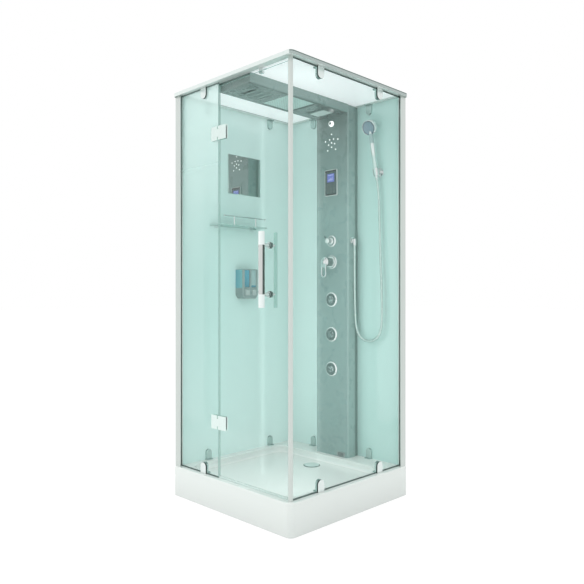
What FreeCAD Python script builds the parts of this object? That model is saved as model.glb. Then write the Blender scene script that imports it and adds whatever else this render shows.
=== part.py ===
import FreeCAD, Part
import math
import os
import Sketcher
from FreeCAD import Placement, Rotation, Vector

# Steam shower cabin. Millimetres, +Z up. The origin is the foot in the middle of the tray, at
# floor level. The door faces -Y, the fixed side pane faces +X, and the two back walls meet at
# the corner towards -X and +Y, where the cabin stands in the corner of a room.

doc = FreeCAD.newDocument("steam_shower_cabin")
sheet = doc.addObject("Spreadsheet::Sheet", "Sizes")
nodes = []


# ---------------------------------------------------------------- sizes with their formulas

class Dim:
    """A size: its number, and the formula that gives it from the cells of the sheet."""

    def __init__(self, number, formula):
        self.number = number
        self.formula = formula

    def __add__(self, other):
        other = as_dim(other)
        return Dim(self.number + other.number, "(%s + %s)" % (self.formula, other.formula))

    def __radd__(self, other):
        return as_dim(other) + self

    def __sub__(self, other):
        other = as_dim(other)
        return Dim(self.number - other.number, "(%s - %s)" % (self.formula, other.formula))

    def __rsub__(self, other):
        return as_dim(other) - self

    def __mul__(self, other):
        other = as_dim(other)
        return Dim(self.number * other.number, "%s * %s" % (self.formula, other.formula))

    def __rmul__(self, other):
        return as_dim(other) * self

    def __truediv__(self, other):
        other = as_dim(other)
        return Dim(self.number / other.number, "%s / %s" % (self.formula, other.formula))

    def __neg__(self):
        return Dim(-self.number, "(0 - %s)" % self.formula)


def as_dim(value):
    """The value as a Dim; a plain number is its own formula."""
    if isinstance(value, Dim):
        return value
    return Dim(float(value), "(%r)" % float(value))


def size(name, value, words):
    """Write one driving size into the sheet and return it."""
    row = size.row = size.row + 1
    sheet.set("A%d" % row, words)
    sheet.set("B%d" % row, repr(value))
    sheet.setAlias("B%d" % row, name)
    return Dim(float(value), "Sizes." + name)


size.row = 0


def bind(thing, slot, value):
    """Set a property or a constraint to a size and tie it to the size's formula."""
    if "Sizes." in value.formula:
        thing.setExpression(slot, value.formula)


# ---------------------------------------------------------------- driving sizes

# the cabin as a whole
tray_width = size("tray_width", 900.0, "tray, along X")
tray_depth = size("tray_depth", 900.0, "tray, along Y")
tray_height = size("tray_height", 160.0, "rim of the tray above the floor")
cabin_height = size("cabin_height", 2201.0, "top of the roof rim above the floor")
glass = size("glass_thickness", 6.0, "safety glass of panes, door and walls")
pane_setback = size("pane_setback", 32.0, "middle of a pane behind the tray's edge")
wall_setback = size("wall_setback", 14.0, "inner face of a back wall behind the tray's edge")
gasket = size("gasket_height", 5.0, "gasket under and over a pane")
slack = size("running_slack", 0.3, "gap between pieces that move past each other")

# tray
tray_wall = size("tray_wall", 4.0, "shell of the tray")
apron_gap = size("apron_gap", 2.0, "apron above the floor")
corner_round = size("corner_round", 32.0, "vertical corner of the apron at the room side")
back_round = size("back_round", 8.0, "other vertical corners of the apron")
rim_round = size("rim_round", 5.0, "upper edge of the rim")
front_ledge = size("front_ledge", 62.0, "rim beside the basin, under door and side pane")
left_ledge = size("left_ledge", 60.0, "rim beside the basin, under the left wall")
column_ledge = size("column_ledge", 146.0, "rim beside the basin, under the column")
basin_depth = size("basin_depth", 35.0, "basin below the rim")
basin_round = size("basin_round", 66.0, "corners of the basin")
basin_foot_round = size("basin_foot_round", 20.0, "hollow round at the foot of the basin wall")
basin_lip = size("basin_lip", 4.0, "round of the basin's upper edge")
drain_x = size("drain_x", -15.0, "drain, from the middle")
drain_y = size("drain_y", 186.0, "drain, from the middle")
drain_bore = size("drain_bore", 84.0, "hole in the basin")
trap_depth = size("trap_depth", 80.0, "cup of the waste trap")
outlet_rise = size("outlet_rise", 23.0, "outlet above the foot of the trap")
outlet_y = size("outlet_y", 300.0, "waste outlet, from the middle")
outlet_radius = size("outlet_radius", 20.0, "waste outlet, 40 mm pipe")
outlet_length = size("outlet_length", 35.0, "spigot of the waste outlet")
outlet_foot = size("outlet_foot", 7.0, "end of the spigot above the floor")
outlet_wall = size("outlet_wall", 2.0, "wall of the waste pipe")
frame_bar_width = size("frame_bar_width", 30.0, "bar of the support frame")
frame_bar_height = size("frame_bar_height", 25.0, "bar of the support frame")
foot_spread_x = size("foot_spread_x", 330.0, "feet, from the middle along X")
foot_spread_y = size("foot_spread_y", 320.0, "feet, from the middle along Y")
foot_radius = size("foot_radius", 25.0, "plate of a foot")
foot_stud = size("foot_stud_radius", 6.0, "stud of a foot")

# profiles and roof
profile_flange = size("profile_flange", 43.0, "front flange of a wall end profile")
profile_leg = size("profile_leg", 48.0, "leg of a wall end profile along the wall")
profile_skin = size("profile_skin", 3.0, "wall of a profile")
profile_lap = size("profile_lap", 15.0, "wall glass inside its end profile")
profile_setback = size("profile_setback", 7.0, "flange behind the tray's edge")
post_size = size("post_size", 17.0, "corner post, square")
post_proud = size("post_proud", 12.0, "corner post beyond the middle of the panes")
post_round = size("post_round", 5.0, "outer edge of the corner post")
corner_leg = size("corner_leg", 25.0, "angle outside the back corner")
roof_overhang = size("roof_overhang", 8.0, "roof rim beyond the tray")
roof_rim_height = size("roof_rim_height", 20.0, "skirt of the roof rim")
roof_skin = size("roof_skin", 3.0, "wall of the roof rim")
roof_rise = size("roof_rise", 4.3, "rim above the roof panel")
roof_panel_thickness = size("roof_panel_thickness", 6.0, "roof panel")
roof_flange = size("roof_flange", 54.0, "flange of the rim under the panel")
roof_round = size("roof_round", 25.0, "vertical corners of the roof rim")

# door
hinge_x = size("hinge_x", -98.0, "hinge line")
hinge_rise = size("hinge_rise", 284.0, "middle of the lower hinge above the rim")
hinge_drop = size("hinge_drop", 259.7, "middle of the upper hinge below the roof flange")
hinge_height = size("hinge_height", 72.0, "leaf of a hinge")
hinge_reach = size("hinge_reach", 57.0, "leaf of a hinge, from the hinge line")
leaf_thickness = size("leaf_thickness", 6.0, "plate of a hinge leaf")
knuckle_height = size("knuckle_height", 40.0, "fixed knuckle")
hinge_pin = size("hinge_pin_radius", 4.0, "hinge pin")
pin_fit = size("pin_fit", 0.05, "pin in its bore, on the radius")
edge_gap = size("edge_gap", 5.0, "edge of the glass beside the hinge line")
notch_depth = size("notch_depth", 13.0, "notch in the glass, from the hinge line")
door_bottom_gap = size("door_bottom_gap", 12.0, "door above the rim")
door_top_gap = size("door_top_gap", 19.0, "door below the roof flange")
seal_width = size("seal_width", 8.0, "magnet seal along the door's closing edge")
handle_x = size("handle_x", 279.0, "handle, from the middle")
handle_low = size("handle_low", 1101.0, "lower stand-off")
handle_high = size("handle_high", 1332.0, "upper stand-off")
handle_tail = size("handle_tail", 63.0, "bar beyond a stand-off")
handle_radius = size("handle_radius", 15.0, "outer bar")
handle_offset = size("handle_offset", 52.0, "outer bar from the middle of the glass")
grip_radius = size("grip_radius", 9.0, "inner bar")
grip_offset = size("grip_offset", 38.0, "inner bar from the middle of the glass")
standoff_radius = size("standoff_radius", 9.0, "stand-off")
standoff_nose = size("standoff_nose_radius", 5.5, "stand-off inside the cabin")

# clips
clip_width = size("clip_width", 45.0, "outer cap of a clip")
clip_height = size("clip_height", 58.0, "cap and leg of a clip")
clip_cap = size("clip_cap_thickness", 7.0, "outer cap of a clip")
clip_leg_width = size("clip_leg_width", 37.0, "leg of a clip")
clip_leg = size("clip_leg_thickness", 9.0, "leg of a clip")
clip_foot_width = size("clip_foot_width", 43.0, "foot of a clip")
clip_foot_depth = size("clip_foot_depth", 26.0, "foot of a clip")
clip_foot = size("clip_foot_height", 4.0, "foot of a clip")
front_clip_x = size("front_clip_x", -223.0, "clip of the fixed front pane")
side_clip_front = size("side_clip_front", -221.0, "front clip of the side pane")
side_clip_back = size("side_clip_back", 240.0, "back clip of the side pane")
left_clip_front = size("left_clip_front", -230.0, "front clip of the left wall")
left_clip_back = size("left_clip_back", 250.0, "back clip of the left wall")
back_clip_left = size("back_clip_left", -230.0, "left clip of the back wall")
back_clip_right = size("back_clip_right", 205.0, "right clip of the back wall")
stop_x = size("stop_x", 212.0, "door stop under the roof rim")
stop_width = size("stop_width", 26.0, "door stop")

# column and console
column_half = size("column_half", 123.5, "half the width of the column and the console")
column_depth = size("column_depth", 95.0, "front of the column from the wall")
column_round = size("column_round", 10.0, "front edges of the column")
shell = size("shell_thickness", 3.0, "moulded shell")
chassis_depth = size("chassis_depth", 31.0, "chassis between wall and shell")
chassis_inset = size("chassis_inset", 6.5, "chassis inside the shell's sides")
console_height = size("console_height", 50.0, "console under the roof")
console_front = size("console_front", 404.0, "front end of the console, from the middle")
console_round = size("console_round", 16.0, "lower long edges of the console")
rain_recess = size("rain_recess_depth", 12.0, "recess of the rain plate")
rain_half_x = size("rain_half_x", 105.0, "half of the rain recess along X")
rain_front = size("rain_front", -126.0, "front of the rain recess")
rain_back = size("rain_back", 95.0, "back of the rain recess")
rain_margin = size("rain_margin", 3.0, "gap round the rain plate")
rain_thickness = size("rain_thickness", 8.0, "rain plate")
vent_depth = size("vent_depth", 8.0, "recess of grille and lamp")
vent_half_x = size("vent_half_x", 62.0, "half of those recesses along X")
fan_front = size("fan_front", -330.0, "front of the fan recess")
fan_back = size("fan_back", -188.0, "back of the fan recess")
lamp_front = size("lamp_front", 168.0, "front of the lamp recess")
lamp_back = size("lamp_back", 292.0, "back of the lamp recess")
grille_thickness = size("grille_thickness", 6.0, "grille and lamp plate")
fan_radius = size("fan_radius", 43.0, "bore of the fan")
fan_height = size("fan_height", 25.0, "frame of the fan")
fan_hub = size("fan_hub_radius", 15.5, "hub of the rotor")
fan_shaft = size("fan_shaft_radius", 3.0, "shaft of the rotor")
blade_gap = size("blade_gap", 0.8, "tip of a blade from the bore")

# fittings on the column, by height
nozzle_drop = size("nozzle_drop", 90.7, "scent nozzle below the roof panel")
nozzle_radius = size("nozzle_radius", 17.0, "scent nozzle")
speaker_drop = size("speaker_drop", 201.7, "middle of the speaker below the roof panel")
speaker_radius = size("speaker_radius", 38.0, "speaker driver")
stud_radius = size("stud_radius", 3.8, "bright stud of the speaker grille")
stud_stem = size("stud_stem_radius", 2.6, "stem of a stud")
panel_drop = size("panel_drop", 436.7, "middle of the control panel below the roof panel")
panel_width = size("panel_width", 96.0, "control panel")
panel_height = size("panel_height", 154.0, "control panel")
panel_thickness = size("panel_thickness", 8.0, "control panel in front of the column")
panel_round = size("panel_round", 7.0, "corners of the control panel")
panel_frame = size("panel_frame", 4.0, "light frame of the control panel")
panel_box_depth = size("panel_box_depth", 24.0, "electronics box behind the panel")
diverter_z = size("diverter_z", 1412.0, "diverter")
diverter_rosette = size("diverter_rosette", 34.0, "rosette of the diverter")
diverter_hub = size("diverter_hub_radius", 15.0, "knob of the diverter")
diverter_length = size("diverter_length", 44.0, "knob of the diverter from the column")
mixer_z = size("mixer_z", 1289.0, "mixer")
mixer_rosette = size("mixer_rosette", 40.0, "rosette of the mixer")
mixer_hub = size("mixer_hub_radius", 24.0, "hub of the mixer")
mixer_ball = size("mixer_ball_radius", 26.0, "ball under the lever's cap")
mixer_reach = size("mixer_reach", 46.0, "centre of that ball from the column")
cap_thickness = size("cap_thickness", 6.0, "cap of the mixer lever")
lever_length = size("lever_length", 92.0, "lever below the mixer's axis")
lever_width = size("lever_width", 40.0, "lever across")
lever_bar = size("lever_bar", 9.0, "bar of the lever")
inlet_spread = size("inlet_spread", 75.0, "water inlets, from the middle")
inlet_radius = size("inlet_radius", 10.45, "water inlet, half-inch pipe thread")
inlet_length = size("inlet_length", 12.0, "water inlet behind the wall")
inlet_gap = size("inlet_gap", 2.0, "water inlet from the wall's back")
inlet_neck = size("inlet_neck_radius", 9.0, "neck of a water inlet, in the wall")
valve_bar = size("valve_bar_radius", 17.0, "bar of the mixer valve")
valve_body = size("valve_body_radius", 20.0, "cartridge of the mixer valve")
diverter_body = size("diverter_body_radius", 14.5, "body of the diverter")
jet_body = size("jet_body_radius", 21.0, "body of a jet behind the column")
jet_top = size("jet_top", 1069.5, "upper body jet")
jet_middle = size("jet_middle", 866.0, "middle body jet")
jet_bottom = size("jet_bottom", 663.5, "lower body jet")
jet_radius = size("jet_radius", 43.0, "ring of a body jet")
jet_ring = size("jet_ring_height", 9.0, "ring of a body jet")
jet_ball = size("jet_ball_radius", 26.0, "ball of a body jet")
jet_sink = size("jet_sink", 6.0, "centre of that ball behind the column's face")
jet_face = size("jet_face", 15.0, "flat of the ball in front of the column's face")
steam_x = size("steam_x", 72.0, "steam outlet")
steam_z = size("steam_z", 176.0, "steam outlet")
boiler_low = size("boiler_low", 250.0, "bottom of the steam generator")
boiler_height = size("boiler_height", 310.0, "steam generator")
boiler_half = size("boiler_half", 92.0, "half the width of the steam generator")
boiler_depth = size("boiler_depth", 55.0, "steam generator")
boiler_skin = size("boiler_skin", 3.0, "casing of the steam generator")
pipe_radius = size("pipe_radius", 8.0, "water pipe")
pipe_y = size("pipe_setback", 22.0, "water pipe in front of the wall")
pipe_sweep = size("pipe_sweep", 28.0, "bend of the riser")

# hose and hand shower
elbow_z = size("elbow_z", 1413.0, "hose elbow")
elbow_setback = size("elbow_setback", 54.0, "hose elbow in front of the wall")
elbow_reach = size("elbow_reach", 15.5, "hose elbow beside the column")
elbow_radius = size("elbow_radius", 10.5, "hose elbow")
hose_radius = size("hose_radius", 7.0, "hose")
holder_x = size("holder_x", 281.0, "holder on the back wall")
holder_drop = size("holder_drop", 401.7, "holder on the back wall, below the roof panel")
holder_reach = size("holder_reach", 39.0, "middle of the cradle from the wall")
holder_pivot = size("holder_pivot", 15.0, "pivot of the cradle from the wall")
cradle_radius = size("cradle_radius", 17.5, "cradle, outside")
cradle_height = size("cradle_height", 44.0, "cradle")
cradle_bore = size("cradle_bore_radius", 13.0, "cradle, inside at its top")
cradle_taper = size("cradle_taper", 2.0, "cradle, narrower at its foot")
head_radius = size("head_radius", 42.0, "head of the hand shower")
head_thickness = size("head_thickness", 20.0, "head of the hand shower")
head_height = size("head_height", 256.0, "middle of the head above the cradle")

# accessories on the left wall
mirror_front = size("mirror_front", -86.0, "mirror")
mirror_back = size("mirror_back", 169.0, "mirror")
mirror_low = size("mirror_low", 1695.0, "mirror")
mirror_high = size("mirror_high", 1927.0, "mirror")
mirror_thickness = size("mirror_thickness", 5.0, "mirror")
shelf_front = size("shelf_front", -220.0, "shelf")
shelf_back = size("shelf_back", 138.0, "shelf")
shelf_z = size("shelf_z", 1500.0, "top of the shelf")
shelf_depth = size("shelf_depth", 112.0, "shelf from the wall")
shelf_round = size("shelf_round", 24.0, "front corners of the shelf")
bracket_width = size("bracket_width", 20.0, "bracket of the shelf")
bracket_inset = size("bracket_inset", 44.0, "bracket from the shelf's end")
rail_height = size("rail_height", 47.0, "rail above the shelf")
rail_radius = size("rail_radius", 3.5, "rail of the shelf")
rail_post = size("rail_post", 82.0, "post of the rail from the shelf's middle")
soap_front = size("soap_front", -26.0, "dispenser")
soap_back = size("soap_back", 94.0, "dispenser")
soap_low = size("soap_low", 1075.0, "dispenser")
soap_high = size("soap_high", 1250.0, "dispenser")
soap_depth = size("soap_depth", 66.0, "dispenser from the wall")
soap_sill = size("soap_sill", 67.0, "pump section of the dispenser")
soap_rib = size("soap_rib", 15.0, "upright of the dispenser")
soap_wall = size("soap_wall", 5.0, "back and lid of the dispenser")
button_width = size("button_width", 28.0, "push lever of the dispenser")
button_height = size("button_height", 34.0, "push lever of the dispenser")
button_travel = size("button_travel", 8.0, "travel of a push lever")
button_proud = size("button_proud", 9.0, "push lever before it is pressed")
button_thickness = size("button_thickness", 14.0, "push lever")

# ---------------------------------------------------------------- places worked out from them

half_x = tray_width / 2
half_y = tray_depth / 2
half_glass = glass / 2
pane_y = pane_setback - half_y
pane_x = half_x - pane_setback
wall_x = wall_setback - half_x
wall_y = half_y - wall_setback
rim_z = tray_height
basin_z = rim_z - basin_depth
wall_start = profile_leg - profile_lap
panel_under = cabin_height - roof_rise - roof_panel_thickness
flange_under = panel_under - roof_skin
pane_low = rim_z + gasket
pane_high = flange_under - gasket
post_x = pane_x + post_proud
post_y = pane_y - post_proud
column_y = wall_y - column_depth
chassis_y = wall_y - chassis_depth
console_under = panel_under - console_height
shell_in = column_half - shell
pipe_line = wall_y - pipe_y
knuckle_radius = half_glass + leaf_thickness
fan_y = (fan_front + fan_back) / 2
vent_top = console_under + vent_depth
hinge_low = rim_z + hinge_rise
hinge_high = flange_under - hinge_drop
nozzle_z = panel_under - nozzle_drop
speaker_z = panel_under - speaker_drop
panel_z = panel_under - panel_drop
holder_z = panel_under - holder_drop

TO_ROOM = (Rotation(Vector(1, 0, 0), 90),)
TO_BACK = (Rotation(Vector(1, 0, 0), -90),)
ALONG_X = (Rotation(Vector(0, 1, 0), 90),)
HOLDER_LEAN = -6.0
HANDLE_TILT = 4.7
FAN_BLADES = 7
JETS = (("top", jet_top), ("middle", jet_middle), ("bottom", jet_bottom))


# ---------------------------------------------------------------- outlines for sketches

def pin(sketch, geometry, end, x, y):
    """Hold a point of the sketch at x, y from the sketch's origin."""
    for kind, value in (("DistanceX", as_dim(x)), ("DistanceY", as_dim(y))):
        place = Sketcher.Constraint(kind, -1, 1, geometry, end, value.number)
        index = sketch.addConstraint(place)
        bind(sketch, "Constraints[%d]" % index, value)


def bend(sketch, start, middle, end):
    """An arc, drawn anticlockwise; returns it with the numbers of its two ends."""
    anticlockwise = (middle - start).cross(end - start).z > 0
    ends = (start, end) if anticlockwise else (end, start)
    arc = sketch.addGeometry(Part.Arc(ends[0], middle, ends[1]), False)
    return (arc, 1, 2) if anticlockwise else (arc, 2, 1)


def disc(x, y, radius):
    """A circle."""
    x, y, radius = as_dim(x), as_dim(y), as_dim(radius)

    def draw(sketch):
        centre = Vector(x.number, y.number, 0)
        circle = sketch.addGeometry(Part.Circle(centre, Vector(0, 0, 1), radius.number), False)
        pin(sketch, circle, 3, x, y)
        index = sketch.addConstraint(Sketcher.Constraint("Radius", circle, radius.number))
        bind(sketch, "Constraints[%d]" % index, radius)
    return draw


def outline(*corners):
    """A closed outline through corners (x, y) or (x, y, radius), rounded where a radius is given."""
    corners = [tuple(as_dim(part) for part in corner) for corner in corners]

    def draw(sketch):
        points = [Vector(corner[0].number, corner[1].number, 0) for corner in corners]
        count = len(points)
        starts, ends, rounds = {}, {}, {}
        for index, here in enumerate(points):
            before = (index - 1) % count
            if len(corners[index]) == 2:
                ends[before] = starts[index] = here
                continue
            back = (points[before] - here).normalize()
            ahead = (points[(index + 1) % count] - here).normalize()
            half = back.getAngle(ahead) / 2
            radius = corners[index][2].number
            reach = radius / math.tan(half)
            centre = here + (back + ahead).normalize() * (radius / math.sin(half))
            middle = centre + (here - centre).normalize() * radius
            ends[before] = here + back * reach
            starts[index] = here + ahead * reach
            rounds[index] = (ends[before], middle, starts[index])
        lines = [sketch.addGeometry(Part.LineSegment(starts[index], ends[index]), False)
                 for index in range(count)]
        for index, here in enumerate(points):
            before, after = lines[(index - 1) % count], lines[index]
            x, y = corners[index][:2]
            if index not in rounds:
                sketch.addConstraint(Sketcher.Constraint("Coincident", before, 2, after, 1))
                pin(sketch, after, 1, x, y)
                continue
            arc, first, last = bend(sketch, *rounds[index])
            sketch.addConstraint(Sketcher.Constraint("Tangent", before, 2, arc, first))
            sketch.addConstraint(Sketcher.Constraint("Tangent", after, 1, arc, last))
            radius = corners[index][2]
            held = sketch.addConstraint(Sketcher.Constraint("Radius", arc, radius.number))
            bind(sketch, "Constraints[%d]" % held, radius)
            corner = sketch.addGeometry(Part.Point(here), True)
            pin(sketch, corner, 1, x, y)
            sketch.addConstraint(Sketcher.Constraint("PointOnObject", corner, 1, before))
            sketch.addConstraint(Sketcher.Constraint("PointOnObject", corner, 1, after))
    return draw


def block(x0, y0, x1, y1, radius=None):
    """A rectangle between two opposite corners, with rounded corners if a radius is given."""
    corners = ((x0, y0), (x1, y0), (x1, y1), (x0, y1))
    if radius is None:
        return outline(*corners)
    return outline(*[(x, y, radius) for x, y in corners])


# ---------------------------------------------------------------- a sub-part and its features

class Piece:
    """One sub-part: a body whose features are added in order."""

    def __init__(self, name):
        self.name = name
        self.body = doc.addObject("PartDesign::Body", name)
        self.body.Label = name
        self.count = 0

    def feature(self, kind, word):
        self.count += 1
        return self.body.newObject(kind, "%s_%s_%d" % (self.name, word, self.count))

    def sketch(self, plane, level, outlines):
        """A sketch on an origin plane, moved along the plane's normal to a level."""
        role, sign = {"XY": ("XY_Plane", 1), "XZ": ("XZ_Plane", -1), "YZ": ("YZ_Plane", 1)}[plane]
        sketch = self.feature("Sketcher::SketchObject", "sketch")
        planes = [part for part in self.body.Origin.OriginFeatures if part.Role == role]
        sketch.AttachmentSupport = (planes[0], [""])
        sketch.MapMode = "FlatFace"
        offset = as_dim(level) * sign
        sketch.AttachmentOffset = Placement(Vector(0, 0, offset.number), Rotation())
        bind(sketch, ".AttachmentOffset.Base.z", offset)
        for draw in outlines:
            draw(sketch)
        return sketch

    def extrude(self, kind, word, plane, start, length, outlines):
        feature = self.feature(kind, word)
        feature.Profile = self.sketch(plane, start, outlines)
        feature.Length = length.number
        bind(feature, "Length", length)
        return self

    def add(self, plane, low, high, *outlines):
        """Pad outlines between two levels of the axis across the plane."""
        low, high = as_dim(low), as_dim(high)
        start = high if plane == "XZ" else low
        return self.extrude("PartDesign::Pad", "pad", plane, start, high - low, outlines)

    def cut(self, plane, low, high, *outlines):
        """Pocket outlines between two levels of the axis across the plane."""
        low, high = as_dim(low), as_dim(high)
        start = low if plane == "XZ" else high
        return self.extrude("PartDesign::Pocket", "pocket", plane, start, high - low, outlines)

    def turn(self, *corners, cut=False):
        """Turn a profile of (radius, height) corners about the piece's own Z axis."""
        kind = "PartDesign::Groove" if cut else "PartDesign::Revolution"
        feature = self.feature(kind, "turned")
        sketch = self.sketch("XZ", 0, [outline(*corners)])
        feature.Profile = sketch
        feature.ReferenceAxis = (sketch, ["V_Axis"])
        feature.Angle = 360
        return self

    def solid(self, kind, centre, turns=(), **measures):
        """Add or take away a ball, cylinder or cone; its foot is at the centre given."""
        feature = self.feature("PartDesign::" + kind, kind.lower())
        for slot, value in measures.items():
            value = as_dim(value)
            setattr(feature, slot, value.number)
            bind(feature, slot, value)
        put(feature, centre, turns)
        return self

    def edges(self, test):
        """Names of the edges of the piece so far whose box passes a test."""
        doc.recompute()
        found = self.body.Tip.Shape.Edges
        return ["Edge%d" % (index + 1) for index, edge in enumerate(found) if test(edge)]

    def round(self, radius, test):
        """Fillet the edges that pass a test."""
        names = self.edges(test)
        feature = self.feature("PartDesign::Fillet", "fillet")
        feature.Base = (feature.BaseFeature, names)
        radius = as_dim(radius)
        feature.Radius = radius.number
        bind(feature, "Radius", radius)
        return self

    def bevel(self, width, test):
        """Chamfer the edges that pass a test."""
        names = self.edges(test)
        feature = self.feature("PartDesign::Chamfer", "chamfer")
        feature.Base = (feature.BaseFeature, names)
        width = as_dim(width)
        feature.Size = width.number
        bind(feature, "Size", width)
        return self

    def at(self, centre=(0, 0, 0), turns=()):
        """Put the finished piece in its place."""
        put(self.body, centre, turns)
        return self

    def keep(self):
        """Make the piece a node of its own."""
        nodes.append(self.body)
        return self


def put(thing, centre, turns=()):
    """Place an object at a point, turned by the product of the rotations given."""
    rotation = Rotation()
    for turn in turns:
        rotation = rotation.multiply(turn)
    centre = [as_dim(part) for part in centre]
    thing.Placement = Placement(Vector(*[part.number for part in centre]), rotation)
    for letter, part in zip("xyz", centre):
        bind(thing, ".Placement.Base." + letter, part)


def lying(tolerance=0.01, **planes):
    """A test for edges that lie wholly at the levels given, such as z=160."""
    planes = {axis: as_dim(level).number for axis, level in planes.items()}

    def test(edge):
        box = edge.BoundBox
        spans = {"x": (box.XMin, box.XMax), "y": (box.YMin, box.YMax), "z": (box.ZMin, box.ZMax)}
        return all(abs(value - level) < tolerance for axis, level in planes.items()
                   for value in spans[axis])
    return test


def either(*tests):
    """A test that is passed when one of several is."""
    return lambda edge: any(test(edge) for test in tests)


def group(name, pieces):
    """A node of several separate solids: each piece is given with the places of its copies."""
    links = []
    for piece, places in pieces:
        for centre, turns in places:
            link = doc.addObject("App::Link", "%s_copy_%d" % (name, len(links) + 1))
            link.LinkedObject = piece.body
            put(link, centre, turns)
            links.append(link)
    node = doc.addObject("Part::Compound", name)
    node.Label = name
    node.Links = links
    nodes.append(node)


# ---------------------------------------------------------------- tray and what it stands on

def shower_tray():
    """One moulded shell: apron, rim all round, and the basin with its drain hole."""
    wall = tray_wall
    low_x, high_x = left_ledge - half_x, half_x - front_ledge
    low_y, high_y = front_ledge - half_y, half_y - column_ledge
    outer = outline((-half_x, -half_y, back_round), (half_x, -half_y, corner_round),
                    (half_x, half_y, back_round), (-half_x, half_y, back_round))
    inner_round = back_round - wall
    hollow = outline((wall - half_x, wall - half_y, inner_round),
                     (half_x - wall, wall - half_y, corner_round - wall),
                     (half_x - wall, half_y - wall, inner_round),
                     (wall - half_x, half_y - wall, inner_round))
    tray = Piece("shower_tray")
    tray.add("XY", apron_gap, rim_z, outer)
    tray.cut("XY", apron_gap, rim_z - wall, hollow)
    tray.add("XY", basin_z - wall, rim_z - wall,
             block(low_x - wall, low_y - wall, high_x + wall, high_y + wall, basin_round + wall))
    tray.cut("XY", basin_z, rim_z, block(low_x, low_y, high_x, high_y, basin_round))
    tray.cut("XY", basin_z - wall, basin_z, disc(drain_x, drain_y, drain_bore / 2))
    rim, floor = lying(z=rim_z), lying(z=basin_z)

    def outside(edge):
        box = edge.BoundBox
        reach = max(abs(value) for value in (box.XMin, box.XMax, box.YMin, box.YMax))
        return rim(edge) and reach > half_x.number - 1

    def foot(edge):
        return floor(edge) and not near_point(edge, drain_x, drain_y, drain_bore)

    tray.round(rim_round, outside)
    tray.round(basin_lip, lambda edge: rim(edge) and not wide(edge))
    tray.round(basin_foot_round, foot)
    tray.keep()


def wide(edge):
    """An edge of the tray's outer rim, moved inwards by the rim's own round."""
    box = edge.BoundBox
    reach = max(abs(value) for value in (box.XMin, box.XMax, box.YMin, box.YMax))
    return reach > half_x.number - rim_round.number - 1


def near_point(edge, x, y, reach):
    """Whether an edge's box is centred at a point of the plan and smaller than a size."""
    box = edge.BoundBox
    close = abs(box.Center.x - x.number) < 1 and abs(box.Center.y - y.number) < 1
    return close and box.XLength < reach.number + 1


def tray_frame():
    """Three separate steel bars that carry the basin on the feet."""
    top = basin_z - tray_wall
    reach = foot_spread_x + foot_radius
    bar = Piece("frame_bar")
    bar.add("YZ", -reach, reach, block(-frame_bar_width / 2, -frame_bar_height,
                                       frame_bar_width / 2, 0, 2.5))
    places = [((0, row * foot_spread_y, top), ()) for row in (-1, 0, 1)]
    group("tray_frame", [(bar, places)])


def leveling_feet():
    """Seven screw feet under the bars; the one in the middle stands at the origin."""
    top = basin_z - tray_wall - frame_bar_height
    nut = foot_stud + 5
    foot = Piece("leveling_foot")
    foot.turn((0, 0), (foot_radius, 0), (foot_radius, 4), (nut, 9), (foot_stud, 9),
              (foot_stud, top - 9), (nut, top - 9), (nut, top), (0, top))
    places = [((column * foot_spread_x, row * foot_spread_y, 0), ())
              for row in (-1, 0, 1) for column in (-1, 0, 1) if column != 0 or row == 0]
    group("leveling_feet", [(foot, places)])


def drain_trap():
    """Waste trap: a cup under the basin, and its pipe that bends down into the floor."""
    floor = basin_z - tray_wall
    cup, wall, depth = drain_bore / 2 + 4, 3, trap_depth
    level, reach = outlet_rise - depth, outlet_y - drain_y
    foot = outlet_foot - floor
    neck, bore = outlet_radius - outlet_wall, outlet_radius - 2 * outlet_wall
    trap = Piece("drain_trap")
    trap.turn((0, -depth), (cup, -depth, 8), (cup, -4), (cup + 12, -4), (cup + 12, 0),
              (cup - wall, 0), (cup - wall, 6 - depth, 6), (0, 6 - depth))
    trap.solid("AdditiveCylinder", (0, cup - 4, level), TO_BACK, Radius=neck,
               Height=reach - cup + 4)
    trap.solid("AdditiveSphere", (0, reach, level), Radius=outlet_radius)
    trap.solid("AdditiveCylinder", (0, reach, foot), Radius=neck, Height=level - foot)
    trap.solid("AdditiveCylinder", (0, reach, foot), Radius=outlet_radius, Height=outlet_length)
    trap.solid("SubtractiveCylinder", (0, cup - 12, level), TO_BACK, Radius=bore,
               Height=reach - cup + 12)
    trap.solid("SubtractiveSphere", (0, reach, level), Radius=bore)
    trap.solid("SubtractiveCylinder", (0, reach, foot), Radius=bore, Height=level - foot)
    trap.at((drain_x, drain_y, floor)).keep()


def drain_cover():
    """Loose domed cover of the drain, with a skirt that drops into the bore."""
    bore = drain_bore / 2
    cover = Piece("drain_cover")
    cover.turn((0, 6.5), (0, 3.5), (bore - 5, 2), (bore - 5, -14), (bore - 2, -14), (bore - 2, slack),
               (bore + 6, slack), (bore + 6, 2.2, 1), (bore - 6, 5.6, 12))
    cover.at((drain_x, drain_y, basin_z)).keep()


# ---------------------------------------------------------------- walls, profiles and roof

def back_walls():
    """The two back-painted glass walls; the back wall runs past the pipe inlets."""
    left = Piece("left_back_wall")
    left.add("XY", rim_z, flange_under,
             block(wall_x - glass, profile_setback - half_y + wall_start, wall_x, wall_y))
    left.keep()
    right = Piece("right_back_wall")
    right.add("XY", rim_z, flange_under,
              block(wall_x, wall_y, half_x - profile_setback - wall_start, wall_y + glass))
    right.cut("XZ", wall_y, wall_y + glass, disc(-inlet_spread, mixer_z, inlet_radius + 1),
              disc(inlet_spread, mixer_z, inlet_radius + 1))
    right.keep()


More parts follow.
